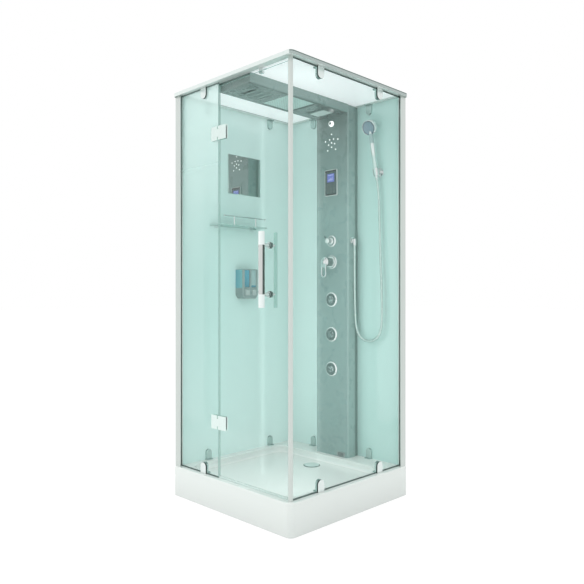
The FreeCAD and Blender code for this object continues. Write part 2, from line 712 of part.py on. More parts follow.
def wall_profiles():
    """Two extrusions that hold a pane and end a wall, and the angle at the back corner."""
    skin = profile_skin
    slot_low = pane_setback - profile_setback - half_glass - 0.5
    slot_high = pane_setback - profile_setback + half_glass + 0.5
    bed = wall_setback
    deep = bed + 6
    seat = wall_setback - glass
    section = ((0, 0), (profile_flange, 0), (profile_flange, skin), (deep, skin),
               (deep, slot_low), (bed, slot_low), (bed, slot_high), (deep, slot_high),
               (deep, wall_start), (seat, wall_start), (seat, profile_leg), (0, profile_leg))
    chamber = ((skin, skin), (deep - skin, skin), (deep - skin, slot_low - skin),
               (skin, slot_low - skin))

    def at_left(u, v):
        return (u - half_x, v + profile_setback - half_y)

    def at_right(u, v):
        return (half_x - profile_setback - v, half_y - u)

    pieces = []
    for name, corner in (("left_end_profile", at_left), ("right_end_profile", at_right)):
        profile = Piece(name)
        profile.add("XY", rim_z, flange_under, outline(*[corner(*point) for point in section]),
                    outline(*[corner(*point) for point in chamber]))
        pieces.append((profile, [((0, 0, 0), ())]))
    out_x, out_y = wall_x - glass, wall_y + glass
    angle = Piece("rear_corner_profile")
    angle.add("XY", rim_z, flange_under,
              outline((out_x - skin, out_y - corner_leg), (out_x, out_y - corner_leg),
                      (out_x, wall_y), (wall_x, wall_y), (wall_x, out_y),
                      (out_x + corner_leg, out_y), (out_x + corner_leg, out_y + skin),
                      (out_x - skin, out_y + skin)))
    pieces.append((angle, [((0, 0, 0), ())]))
    group("wall_profiles", pieces)


def corner_post():
    """Slim post at the free corner: it carries the side pane and meets the door's seal."""
    inner_x, inner_y = post_x - post_size, post_y + post_size
    post = Piece("corner_post")
    post.add("XY", rim_z, flange_under,
             outline((inner_x, post_y, 2), (post_x, post_y, post_round), (post_x, inner_y, 2),
                     (inner_x, inner_y)),
             block(inner_x + 3, post_y + 3, post_x - 3, inner_y - 3, 1.5))
    post.keep()


def roof_panel():
    """Panel laid in the rim, with the hole where the fan blows out."""
    reach_x = half_x + roof_overhang - roof_skin - slack
    reach_y = half_y + roof_overhang - roof_skin - slack
    panel = Piece("roof_panel")
    panel.add("XY", panel_under, panel_under + roof_panel_thickness,
              block(-reach_x, -reach_y, reach_x, reach_y, roof_round - roof_skin - slack))
    panel.cut("XY", panel_under, panel_under + roof_panel_thickness, disc(0, fan_y, fan_radius))
    panel.keep()


def roof_frame():
    """Rim of the roof: a skirt outside, and a flange that rests on the glass all round."""
    out_x, out_y = half_x + roof_overhang, half_y + roof_overhang
    in_x, in_y = out_x - roof_skin, out_y - roof_skin
    open_x, open_y = out_x - roof_flange, out_y - roof_flange
    rim = Piece("roof_frame")
    rim.add("XY", cabin_height - roof_rim_height, cabin_height,
            block(-out_x, -out_y, out_x, out_y, roof_round))
    rim.cut("XY", panel_under, cabin_height,
            block(-in_x, -in_y, in_x, in_y, roof_round - roof_skin))
    rim.cut("XY", cabin_height - roof_rim_height, flange_under,
            block(-in_x, -in_y, in_x, in_y, roof_round - roof_skin))
    rim.cut("XY", flange_under, panel_under, block(-open_x, -open_y, open_x, open_y, 6))
    rim.round(2.5, top_outer_edges(out_x, out_y))
    rim.keep()


def top_outer_edges(out_x, out_y):
    """The outer upper edges of the roof rim, its four corners included."""
    level = lying(z=cabin_height)

    def test(edge):
        box = edge.BoundBox
        near_x = max(abs(box.XMin), abs(box.XMax)) > out_x.number - 0.01
        near_y = max(abs(box.YMin), abs(box.YMax)) > out_y.number - 0.01
        return level(edge) and (near_x or near_y)
    return test


# ---------------------------------------------------------------- fixed glass

def hinge_notches(piece, side):
    """Notches in the glass for the two hinges, on the side of the hinge line given."""
    near = hinge_x + side * (edge_gap - 1)
    far = hinge_x + side * notch_depth
    low, high = (near, far) if side > 0 else (far, near)
    half = hinge_height / 2 + 1
    for middle in (hinge_low, hinge_high):
        piece.cut("XZ", pane_y - half_glass, pane_y + half_glass,
                  block(low, middle - half, high, middle + half))


def fixed_panes():
    """The narrow front pane beside the door and the full side pane."""
    end_x = wall_setback + gasket + 1 - half_x
    front = Piece("front_fixed_pane")
    front.add("XZ", pane_y - half_glass, pane_y + half_glass,
              block(end_x, pane_low, hinge_x - edge_gap, pane_high))
    hinge_notches(front, -1)
    front.keep()
    side = Piece("side_pane")
    side.add("YZ", pane_x - half_glass, pane_x + half_glass,
             block(post_y + post_size, pane_low, -end_x_for_side(), pane_high))
    side.keep()


def end_x_for_side():
    """Where the side pane ends in its profile, measured from the cabin's middle."""
    return wall_setback + gasket + 1 - half_y


def pane_gaskets():
    """Dark gaskets under, over and at the wall end of the fixed panes."""
    end_x = wall_setback + gasket + 1 - half_x
    end_y = -end_x_for_side()
    pieces = []
    for name, low, high in (("lower_gasket", rim_z, pane_low),
                            ("upper_gasket", pane_high, flange_under)):
        strips = Piece(name)
        strips.add("XY", low, high,
                   block(end_x, pane_y - half_glass, hinge_x - edge_gap, pane_y + half_glass),
                   block(pane_x - half_glass, post_y + post_size, pane_x + half_glass, end_y))
        pieces.append((strips, [((0, 0, 0), ())]))
    ends = Piece("end_gasket")
    ends.add("XY", rim_z, flange_under,
             block(end_x - gasket, pane_y - half_glass, end_x, pane_y + half_glass),
             block(pane_x - half_glass, end_y, pane_x + half_glass, end_y + gasket))
    pieces.append((ends, [((0, 0, 0), ())]))
    group("pane_gaskets", pieces)


def clip_leg_solid(clip, face, room):
    """Leg against the glass and foot on the tray or the roof flange; room is +1 or -1."""
    half, width = clip_leg_width / 2, clip_foot_width / 2
    low, high = sorted((as_dim(face), face + room * clip_leg), key=lambda part: part.number)
    clip.add("XZ", low, high, outline((-half, 0), (half, 0), (half, clip_height, half - 0.5),
                                      (-half, clip_height, half - 0.5)))
    end = face + room * clip_foot_depth
    clip.add("XY", 0, clip_foot, outline((-width, face), (width, face), (width, end, width / 2),
                                         (-width, end, width / 2)))


def glass_clips():
    """Clips that fix the panes and the walls to the tray and the roof rim."""
    half = clip_width / 2
    pane_clip = Piece("pane_clip")
    pane_clip.add("XZ", -half_glass - clip_cap, -half_glass,
                  outline((-half, 0), (half, 0), (half, clip_height, half - 0.5),
                          (-half, clip_height, half - 0.5)))
    pane_clip.round(2, lying(y=-half_glass - clip_cap))
    clip_leg_solid(pane_clip, half_glass, 1)
    wall_clip = Piece("wall_clip")
    clip_leg_solid(wall_clip, as_dim(0), -1)
    quarter, over = Rotation(Vector(0, 0, 1), 90), Rotation(Vector(0, 1, 0), 180)
    pane_places, wall_places = [], []
    for level, turns in ((rim_z, ()), (flange_under, (over,))):
        pane_places.append(((front_clip_x, pane_y, level), turns))
        for place in (side_clip_front, side_clip_back):
            pane_places.append(((pane_x, place, level), (quarter,) + turns))
    for level, turns in ((rim_z, ()), (flange_under, (over,))):
        for place in (back_clip_left, back_clip_right):
            wall_places.append(((place, wall_y, level), turns))
        for place in (left_clip_front, left_clip_back):
            wall_places.append(((wall_x, place, level), (quarter,) + turns))
    group("glass_clips", [(pane_clip, pane_places), (wall_clip, wall_places)])


def door_stop():
    """Buffer under the roof flange that the closed door comes up against."""
    face = pane_y + half_glass + slack
    half = stop_width / 2
    stop = Piece("door_stop")
    stop.add("XZ", face, face + 14, outline((-half, flange_under), (half, flange_under),
                                            (half, flange_under - door_top_gap - 9, 6),
                                            (-half, flange_under - door_top_gap - 9, 6)))
    stop.add("XZ", face + 14, face + 30, block(-half, flange_under - 5, half, flange_under))
    stop.at((stop_x, 0, 0)).keep()


# ---------------------------------------------------------------- door

def hinges():
    """Glass-to-glass hinges: a fixed leaf with the middle knuckle, and the door's leaf."""
    reach, radius = hinge_reach, knuckle_radius
    half, knuckle = hinge_height / 2, knuckle_height / 2
    start = radius + slack
    for_door = ((knuckle + slack, half), (-half, -knuckle - slack))
    fixed, door = Piece("fixed_leaf"), Piece("door_leaf")
    for leaf, side, spans in ((fixed, -1, ((-knuckle, knuckle),)), (door, 1, for_door)):
        low, high = (-reach, -start) if side < 0 else (start, reach)
        leaf.add("XY", -half, half, block(low, -radius, high, -half_glass),
                 block(low, half_glass, high, radius))
        web = side * (notch_depth - 1)
        for bottom, top in spans:
            leaf.add("XY", bottom, top, disc(0, 0, radius))
            leaf.add("XY", bottom, top, block(min_of(web, 0), -radius, max_of(web, 0), radius))
        leaf.cut("XY", -half, half, disc(0, 0, hinge_pin + pin_fit))
        leaf.round(1.5, either(lying(y=-radius, x=side * reach), lying(y=radius, x=side * reach),
                               lying(y=-radius, z=half), lying(y=-radius, z=-half)))
    pin_piece = Piece("hinge_pin")
    pin_piece.add("XY", -half, half, disc(0, 0, hinge_pin))
    places = [((hinge_x, pane_y, hinge_low), ()), ((hinge_x, pane_y, hinge_high), ())]
    group("hinge_fixed_leaves", [(fixed, places)])
    group("hinge_pins", [(pin_piece, places)])
    group("hinge_door_leaves", [(door, places)])


def min_of(first, second):
    """The lesser of two sizes."""
    first, second = as_dim(first), as_dim(second)
    return first if first.number < second.number else second


def max_of(first, second):
    """The greater of two sizes."""
    first, second = as_dim(first), as_dim(second)
    return first if first.number > second.number else second


def door_span():
    """Left, right, lower and upper edge of the door's glass."""
    closing = post_x - post_size - slack - seal_width
    return hinge_x + edge_gap, closing, rim_z + door_bottom_gap, flange_under - door_top_gap


def door_glass():
    """The door leaf with its hinge notches and the two holes for the handle."""
    left, right, low, high = door_span()
    door = Piece("door_glass")
    door.add("XZ", pane_y - half_glass, pane_y + half_glass, block(left, low, right, high))
    hinge_notches(door, 1)
    door.cut("XZ", pane_y - half_glass, pane_y + half_glass,
             disc(handle_x, handle_low, standoff_radius + 0.5),
             disc(handle_x, handle_high, standoff_radius + 0.5))
    door.keep()


def door_seals():
    """Magnet seal at the closing edge, fins at the hinge edge and the drip strip below."""
    left, right, low, high = door_span()
    seals = Piece("door_seals")
    seals.add("XY", low, high, block(right, pane_y - half_glass, right + seal_width,
                                     pane_y + half_glass))
    clear = hinge_height / 2 + 2
    for bottom, top in ((low, hinge_low - clear), (hinge_low + clear, hinge_high - clear),
                        (hinge_high + clear, high)):
        seals.add("XY", bottom, top, block(left - 3, pane_y - half_glass, left,
                                           pane_y + half_glass))
    seals.add("XZ", pane_y - half_glass, pane_y + half_glass,
              block(left, low - door_bottom_gap + 1.5, right + seal_width, low))
    seals.keep()


def bar_handle(name, radius, offset, hole, depth, side):
    """Upright bar with domed ends and two blind holes that face the glass."""
    centre_y = pane_y + side * offset
    bar = Piece(name)
    bottom, top = handle_low - handle_tail, handle_high + handle_tail
    bar.turn((0, bottom), (radius, bottom, 2.5), (radius, top, 2.5), (0, top))
    face = radius - depth
    for level in (handle_low, handle_high):
        low, high = (-radius - 1, -face) if side > 0 else (face, radius + 1)
        bar.cut("XZ", low, high, disc(0, level, hole))
    bar.at((handle_x, centre_y, 0)).keep()


def door_handles():
    """Outer bar, thinner inner bar, and the two stand-offs that pass through the glass."""
    bar_handle("outer_handle", handle_radius, handle_offset, standoff_radius + 0.1, 8.2, -1)
    bar_handle("inner_handle", grip_radius, grip_offset, standoff_nose + 0.1, 5.2, 1)
    outer_end = handle_offset - handle_radius + 8
    inner_end = grip_offset - grip_radius + 5
    rosette = standoff_radius + 7
    standoff = Piece("handle_standoff")
    standoff.turn((0, -inner_end), (standoff_nose, -inner_end), (standoff_nose, -half_glass - 5),
                  (rosette, -half_glass - 5, 2), (rosette, -half_glass), (standoff_radius, -half_glass),
                  (standoff_radius, half_glass), (rosette, half_glass), (rosette, half_glass + 5, 2),
                  (standoff_radius, half_glass + 5), (standoff_radius, outer_end), (0, outer_end))
    places = [((handle_x, pane_y, handle_low), TO_ROOM), ((handle_x, pane_y, handle_high), TO_ROOM)]
    group("handle_standoffs", [(standoff, places)])


# ---------------------------------------------------------------- column

def column_cover():
    """Moulded front shell of the column, with the openings of everything it carries."""
    front, back, half = column_y, chassis_y, column_half
    cover = Piece("column_housing")
    cover.add("XY", rim_z, flange_under,
              outline((-half, back), (-half, front, column_round), (half, front, column_round),
                      (half, back), (half - shell, back),
                      (half - shell, front + shell, column_round - shell),
                      (shell - half, front + shell, column_round - shell), (shell - half, back)))
    holes = [disc(0, nozzle_z, nozzle_radius - 8), disc(0, diverter_z, diverter_hub + 2),
             disc(0, mixer_z, mixer_hub + 2)]
    holes += [disc(0, level, jet_ball + 5) for level in (jet_top, jet_middle, jet_bottom)]
    holes += [disc(x, z, stud_stem + 0.1) for x, z in stud_places()]
    half_w, half_h = panel_width / 2 - 8, panel_height / 2 - 8
    holes.append(block(-half_w, panel_z - half_h, half_w, panel_z + half_h))
    holes.append(block(steam_x - 26, steam_z - 10, steam_x + 26, steam_z + 10))
    cover.cut("XZ", front, front + shell, *holes)
    cover.cut("YZ", half - shell, half, disc(wall_y - elbow_setback, elbow_z, elbow_radius - 1.5))
    cover.cut("XZ", front, front + shell, disc(0, rain_pipe_z(), pipe_radius + 1))
    cover.keep()


def rain_pipe_z():
    """Height of the water pipe that crosses the console."""
    return console_under + rain_recess + shell + pipe_radius + 6


def stud_places():
    """Speaker grille: studs on the middle line and in pairs beside it."""
    middle = [(0, 50), (0, 0), (0, -25.5)]
    pairs = [(15, 20), (48, 14), (23.5, -9), (30.5, -42)]
    spots = middle + [(side * x, z) for x, z in pairs for side in (-1, 1)]
    return [(as_dim(x), speaker_z + z) for x, z in spots]


def column_back():
    """Dark chassis between the shell and the wall."""
    inset = column_half - chassis_inset
    front, back = chassis_y, wall_y
    skin = shell
    chassis = Piece("column_back")
    chassis.add("XY", rim_z, flange_under,
                outline((-inset, back), (inset, back), (inset, front + skin),
                        (column_half, front + skin), (column_half, front), (inset - skin, front),
                        (inset - skin, back - skin), (skin - inset, back - skin),
                        (skin - inset, front), (-column_half, front),
                        (-column_half, front + skin), (-inset, front + skin)))
    chassis.cut("XZ", wall_y - skin, wall_y, disc(-inlet_spread, mixer_z, inlet_radius + 1),
                disc(inlet_spread, mixer_z, inlet_radius + 1))
    chassis.keep()


def steam_outlet():
    """Louvred outlet at the column's foot, with the spigot of its steam pipe."""
    back = column_y + 34
    outlet = Piece("steam_outlet")
    outlet.add("XZ", column_y - 4, column_y, block(steam_x - 30, steam_z - 14, steam_x + 30,
                                                   steam_z + 14, 5))
    outlet.add("XZ", column_y, back, block(steam_x - 25.5, steam_z - 9.5, steam_x + 25.5,
                                           steam_z + 9.5))
    outlet.cut("XZ", column_y - 4, column_y + 16,
               *[block(steam_x - 22, steam_z - 2 + row * 7, steam_x + 22, steam_z + 2 + row * 7)
                 for row in (-1, 0, 1)])
    outlet.add("XY", steam_z + 9.5, boiler_low, disc(steam_x, back - 12, 9))
    outlet.keep()


def steam_generator():
    """Flat boiler casing with its flange, inside the foot of the column."""
    back = wall_y - shell
    front, top, skin = back - boiler_depth, boiler_low + boiler_height, boiler_skin
    boiler = Piece("steam_generator")
    boiler.add("XY", boiler_low, top, block(-boiler_half, front, boiler_half, back, 12))
    boiler.round(6, either(lying(z=boiler_low), lying(z=top)))
    boiler.cut("XZ", front + skin, back, block(skin + 6 - boiler_half, boiler_low + skin + 3,
                                               boiler_half - skin - 6, top - skin - 3, 6))
    boiler.add("XY", top, top + 16, disc(0, (front + back) / 2, 20))
    boiler.keep()


def mixer_valve():
    """Brass valve: cartridge, bar between the two inlets, and the diverter above it."""
    foot = wall_y + glass + inlet_gap
    behind = column_y + shell + slack
    rise = diverter_z - mixer_z
    valve = Piece("mixer_valve")
    valve.solid("AdditiveCylinder", (-inlet_spread - 12, pipe_line, 0), ALONG_X, Radius=valve_bar,
                Height=inlet_spread * 2 + 24)
    valve.solid("AdditiveCylinder", (0, pipe_line, 0), TO_ROOM, Radius=valve_body,
                Height=pipe_line - behind)
    for side in (-1, 1):
        valve.solid("AdditiveCylinder", (side * inlet_spread, foot, 0), TO_ROOM,
                    Radius=inlet_neck, Height=foot - pipe_line)
        valve.solid("AdditiveCylinder", (side * inlet_spread, foot + inlet_length, 0), TO_ROOM,
                    Radius=inlet_radius, Height=inlet_length)
    valve.solid("AdditiveCylinder", (0, pipe_line, 0), Radius=11, Height=rise)
    valve.solid("AdditiveCylinder", (0, pipe_line, rise), TO_ROOM, Radius=diverter_body - 0.5,
                Height=pipe_line - behind)
    valve.solid("AdditiveSphere", (0, pipe_line, rise), Radius=diverter_body)
    valve.at((0, 0, mixer_z)).keep()


def supply_pipes():
    """Riser to the rain plate, and the manifold that feeds the three body jets."""
    sweep, start = pipe_sweep, diverter_z + diverter_body
    low = console_under + rain_recess + shell + 1
    top = rain_pipe_z()
    rain_y = (rain_front + rain_back) / 2
    riser = Piece("rain_riser")
    corners = ((pipe_line, start), (pipe_line, top), (rain_y, top))
    path = riser.sketch("YZ", 0, [open_path(corners, sweep)])
    ring = riser.sketch("XY", start, [disc(0, pipe_line, pipe_radius)])
    pipe = riser.feature("PartDesign::AdditivePipe", "pipe")
    pipe.Profile = ring
    pipe.Spine = (path, ["Edge%d" % (index + 1) for index in range(3)])
    riser.solid("AdditiveSphere", (0, rain_y, top), Radius=pipe_radius + 0.5)
    riser.solid("AdditiveCylinder", (0, rain_y, low), Radius=pipe_radius, Height=top - low)
    feeder = Piece("jet_manifold")
    foot, head = jet_bottom - jet_body + 1, mixer_z - valve_body - slack
    feeder.solid("AdditiveCylinder", (0, pipe_line, foot), Radius=pipe_radius, Height=head - foot)
    for level in (jet_top, jet_middle, jet_bottom):
        feeder.solid("AdditiveCylinder", (0, pipe_line, level), TO_ROOM, Radius=jet_body,
                     Height=pipe_line - column_y - jet_sink - jet_ball - 1)
    group("supply_pipes", [(riser, [((0, 0, 0), ())]), (feeder, [((0, 0, 0), ())])])


def open_path(corners, radius):
    """Two straight runs joined by a round bend, for a pipe."""
    corners = [tuple(as_dim(part) for part in corner) for corner in corners]
    radius = as_dim(radius)

    def draw(sketch):
        a, b, c = [Vector(corner[0].number, corner[1].number, 0) for corner in corners]
        back, ahead = (a - b).normalize(), (c - b).normalize()
        reach = radius.number / math.tan(back.getAngle(ahead) / 2)
        centre = b + (back + ahead) * radius.number
        first = sketch.addGeometry(Part.LineSegment(a, b + back * reach), False)
        middle = centre + (b - centre).normalize() * radius.number
        arc, one, two = bend(sketch, b + back * reach, middle, b + ahead * reach)
        last = sketch.addGeometry(Part.LineSegment(b + ahead * reach, c), False)
        sketch.addConstraint(Sketcher.Constraint("Tangent", first, 2, arc, one))
        sketch.addConstraint(Sketcher.Constraint("Tangent", last, 1, arc, two))
        pin(sketch, first, 1, *corners[0])
        pin(sketch, last, 2, *corners[2])
        sketch.addConstraint(Sketcher.Constraint("Vertical", first))
        sketch.addConstraint(Sketcher.Constraint("Horizontal", last))
        sketch.addConstraint(Sketcher.Constraint("Radius", arc, radius.number))
    return draw


def speaker():
    """Speaker driver behind its grille: basket, cone and magnet."""
    depth = 26
    driver = Piece("speaker")
    driver.turn((0, -depth), (17, -depth), (17, -depth + 12), (speaker_radius - 3, -5),
                (speaker_radius, -5), (speaker_radius, 0), (speaker_radius - 5, 0), (10, -8),
                (0, -8))
    driver.at((0, column_y + shell + slack, speaker_z), TO_ROOM).keep()


def speaker_studs():
    """Bright domed studs that show round the speaker."""
    stud = Piece("speaker_stud")
    stud.turn((0, -shell - 1), (stud_stem, -shell - 1), (stud_stem, 0), (stud_radius, 0),
              (stud_radius, 1.6, 1.2), (0, 2.4))
    group("speaker_studs", [(stud, [((x, column_y, z), TO_ROOM) for x, z in stud_places()])])


def top_nozzle():
    """Round chrome nozzle under the console."""
    nozzle = Piece("top_nozzle")
    nozzle.turn((5, -12), (nozzle_radius - 8.2, -12), (nozzle_radius - 8.2, 0),
                (nozzle_radius, 0), (nozzle_radius, 4, 1.5), (nozzle_radius - 5, 14, 2), (7, 14),
                (5, 9))
    nozzle.at((0, column_y, nozzle_z), TO_ROOM).keep()


def control_panel():
    """Panel with its light frame and the electronics box behind it, and its glass."""
    w, h = panel_width / 2, panel_height / 2
    front = column_y - panel_thickness
    panel = Piece("control_panel")
    panel.add("XZ", front, column_y, block(-w, panel_z - h, w, panel_z + h, panel_round))
    panel.round(2, lying(y=front))
    panel.cut("XZ", front, front + 3,
              block(panel_frame - w, panel_z - h + panel_frame, w - panel_frame,
                    panel_z + h - panel_frame, panel_round - 3))
    panel.add("XZ", column_y, column_y + panel_box_depth,
              block(8.4 - w, panel_z - h + 8.4, w - 8.4, panel_z + h - 8.4))
    panel.keep()
    inset = panel_frame + 0.2
    glass_plate = Piece("panel_glass")
    glass_plate.add("XZ", front + 0.6, front + 3,
                    block(inset - w, panel_z - h + inset, w - inset, panel_z + h - inset,
                          panel_round - 3.2))
    glass_plate.keep()


def column_rosettes():
    """Round chrome covers on the column: mixer, diverter and the three body jets."""
    mixer = Piece("mixer_rosette")
    mixer.turn((mixer_hub + 0.5, 0), (mixer_rosette, 0), (mixer_rosette, 4, 2),
               (mixer_hub + 8, 10, 6), (mixer_hub + 0.5, 10))
    diverter = Piece("diverter_rosette")
    diverter.turn((diverter_hub + 0.5, 0), (diverter_rosette, 0), (diverter_rosette, 4, 2),
                  (diverter_hub + 6, 9, 5), (diverter_hub + 0.5, 9))
    jet = Piece("jet_ring")
    jet.turn((jet_radius - 24, 0), (jet_radius, 0), (jet_radius, 4, 3), (jet_radius - 9, jet_ring, 5),
             (jet_radius - 24, jet_ring))
    jet.solid("SubtractiveSphere", (0, 0, -jet_sink), Radius=jet_ball + slack)
    group("column_rosettes", [(mixer, [((0, column_y, mixer_z), TO_ROOM)]),
                              (diverter, [((0, column_y, diverter_z), TO_ROOM)]),
                              (jet, [((0, column_y, level), TO_ROOM)
                                     for level in (jet_top, jet_middle, jet_bottom)])])


def mixer_spindle():
    """Turning hub of the mixer, with the ball that the lever's cap rides on."""
    foot = -shell
    spindle = Piece("mixer_spindle")
    spindle.add("XY", foot, mixer_reach, disc(0, 0, mixer_hub))
    spindle.solid("AdditiveSphere", (0, 0, mixer_reach), Radius=mixer_ball)
    spindle.at((0, column_y, mixer_z), TO_ROOM).keep()


def mixer_lever():
    """Domed cap with the hanging open lever; it lifts about the ball's centre."""
    ball, outer = mixer_ball + slack, mixer_ball + slack + cap_thickness
    low = mixer_reach + mixer_ball * 0.62
    half, bar = lever_width / 2, lever_bar
    front = mixer_reach + outer - 4
    lever = Piece("mixer_lever")
    lever.solid("AdditiveSphere", (0, 0, mixer_reach), Radius=outer)
    lever.cut("XY", mixer_reach - outer - 1, low, block(-60, -60, 60, 60))
    lever.add("XY", front - 8, front, outline((-half, -lever_length, half - 1),
                                              (half, -lever_length, half - 1), (half, -4, 12),
                                              (-half, -4, 12)))
    lever.cut("XY", front - 8, front, outline((bar - half, bar - lever_length, half - bar - 1),
                                              (half - bar, bar - lever_length, half - bar - 1),
                                              (half - bar, -34, 4), (bar - half, -34, 4)))
    lever.round(2.5, lying(z=front))
    lever.solid("SubtractiveSphere", (0, 0, mixer_reach), Radius=ball)
    lever.at((0, column_y, mixer_z), TO_ROOM).keep()


def diverter_knob():
    """Turned knob with a short lever pin that points up and to the left."""
    knob = Piece("diverter_knob")
    knob.turn((0, -shell), (diverter_hub, -shell), (diverter_hub, diverter_length - 6),
              (diverter_hub - 1.5, diverter_length, 2), (0, diverter_length + 1.5))
    knob.solid("AdditiveCylinder", (0, 0, diverter_length - 12),
               (Rotation(Vector(0, 0, 1), 45), Rotation(Vector(1, 0, 0), -90)), Radius=4, Height=36)
    knob.solid("AdditiveSphere", (-25.4, 25.4, diverter_length - 12), Radius=5)
    knob.at((0, column_y, diverter_z), TO_ROOM).keep()


def jet_nozzles():
    """The ball in each body jet, which tilts to aim the water."""
    for word, level in JETS:
        ball = Piece("jet_nozzle_" + word)
        ball.solid("AdditiveSphere", (0, 0, 0), Radius=jet_ball)
        flat = jet_face + jet_sink
        ball.cut("XY", flat, jet_ball + 1, disc(0, 0, jet_ball + 1))
        ball.cut("XY", -jet_ball - 1, -jet_ball * 0.8, disc(0, 0, jet_ball + 1))
        ball.cut("XY", flat - 2, flat, disc(0, 0, 6.5),
                 *[disc(10 * math.cos(turn * math.pi / 3), 10 * math.sin(turn * math.pi / 3), 1.5)
                   for turn in range(6)])
        ball.at((0, column_y + jet_sink, level), TO_ROOM).keep()


def hose_elbow():
    """Chrome elbow on the column's side that turns the water down into the hose."""
    elbow = Piece("hose_elbow")
    elbow.turn((0, -shell - 8), (elbow_radius - 2, -shell - 8), (elbow_radius - 2, 0),
               (elbow_radius + 11, 0), (elbow_radius + 11, 3, 1.5), (elbow_radius, 7, 3),
               (elbow_radius, elbow_reach), (0, elbow_reach))
    elbow.solid("AdditiveSphere", (0, 0, elbow_reach), Radius=elbow_radius)
    elbow.solid("AdditiveCylinder", (0, 0, elbow_reach), (Rotation(Vector(0, 1, 0), 90),),
                Radius=elbow_radius, Height=30)
    elbow.at((column_half, wall_y - elbow_setback, elbow_z), ALONG_X).keep()


# ---------------------------------------------------------------- hand shower

def holder_turns(tilt=0.0):
    """The holder's lean on the wall, and the tilt of cradle and hand shower in it."""
    return (Rotation(Vector(0, 1, 0), HOLDER_LEAN), Rotation(Vector(1, 0, 0), tilt))


def cradle_centre():
    """Middle of the cradle, seen from the holder's point on the wall."""
    arm = holder_reach.number - holder_pivot.number
    lean, tilt = holder_turns(HANDLE_TILT)
    pivot = lean.multVec(Vector(0, -holder_pivot.number, 0))
    return pivot + lean.multiply(tilt).multVec(Vector(0, -arm, 0))


def handset_holder():
    """Wall rosette with the fork and the pin that carry the cradle."""
    ear, radius = 8.3, 8.0
    holder = Piece("handset_holder")
    holder.add("XZ", -4, 0, disc(0, 0, 25))
    holder.round(2, lying(y=-4))
    for side in (-1, 1):
        low, high = sorted((side * ear, side * (ear + 4.5)))
        holder.add("YZ", low, high, outline((-holder_pivot - radius, -radius, radius - 1),
                                            (-3, -radius), (-3, radius),
                                            (-holder_pivot - radius, radius, radius - 1)))
    holder.solid("AdditiveCylinder", (-ear - 1, -holder_pivot, 0), ALONG_X, Radius=3,
                 Height=2 * ear + 2)
    holder.at((holder_x, wall_y, holder_z), holder_turns()).keep()


def handset_cradle():
    """Open conical cradle on its knuckle; the slot at the front lets the hose through."""
    arm = holder_reach - holder_pivot
    half = cradle_height / 2
    knuckle = 8.0
    cradle = Piece("handset_cradle")
    cradle.turn((0, -half), (cradle_radius - 1.5, -half, 2), (cradle_radius, half, 2), (0, half))
    cradle.add("YZ", -knuckle, knuckle, outline((0, -7), (arm, -7), (arm, 7), (0, 7)))
    cradle.solid("AdditiveCylinder", (-knuckle, arm, 0), ALONG_X, Radius=7, Height=2 * knuckle)
    cradle.turn((0, -half), (cradle_bore - cradle_taper, -half), (cradle_bore, half), (0, half),
                cut=True)
    cradle.cut("XY", -half, half, block(-8.2, -cradle_radius - 2, 8.2, 0))
    cradle.solid("SubtractiveCylinder", (-knuckle - 1, arm, 0), ALONG_X, Radius=3 + pin_fit,
                 Height=2 * knuckle + 2)
    centre = cradle_centre()
    cradle.at((holder_x + centre.x, wall_y + centre.y, holder_z + centre.z),
              holder_turns(HANDLE_TILT)).keep()


def handset():
    """Hand shower: hose nut, tapered handle, neck and the tilted round head."""
    half = cradle_height / 2
    top, bottom = cradle_bore - slack, cradle_bore - cradle_taper - slack
    shower = Piece("handset")
    shower.turn((0, -half - 20), (9.5, -half - 20), (9.5, -half - 2), (bottom, -half - 2),
                (bottom, -half), (top, half), (top - 1.5, half + 6, 4), (13, head_height - 70, 60),
                (9, head_height - 22), (0, head_height - 22))
    tilt = (Rotation(Vector(1, 0, 0), 110),)
    shower.solid("AdditiveCylinder", (0, 4, head_height), tilt, Radius=head_radius,
                 Height=head_thickness)
    shower.solid("AdditiveCone", (0, 4, head_height),
                 (Rotation(Vector(1, 0, 0), -70),), Radius1=head_radius, Radius2=24, Height=10)
    centre = cradle_centre()
    shower.at((holder_x + centre.x, wall_y + centre.y, holder_z + centre.z),
              holder_turns(HANDLE_TILT)).keep()


def handset_axis():
    """Direction of the hand shower's handle, upwards."""
    lean, tilt = holder_turns(HANDLE_TILT)
    return lean.multiply(tilt).multVec(Vector(0, 0, 1))


def hose_route():
    """Points of the hose, from the elbow down, round its loop and up to the hand shower."""
    centre = cradle_centre() + Vector(holder_x.number, wall_y.number, holder_z.number)
    axis = handset_axis()
    end = centre - axis * (cradle_height.number / 2 + 20 + slack.number)
    last = end - axis * 86
    outlet = Vector(column_half.number + elbow_reach.number, wall_y.number - elbow_setback.number,
                    elbow_z.number - 30)
    hand = [(139, 382, 1206), (136.5, 389, 1021), (139, 397, 888), (187, 402, 836),
            (263, 403, 834), (316, 403, 889), (321, 403, 1018), (314, 404, 1190),
            (305.5, 404.5, 1358), (300.5, 405.5, 1516)]
    return [outlet] + [Vector(*point) for point in hand] + [last, end]


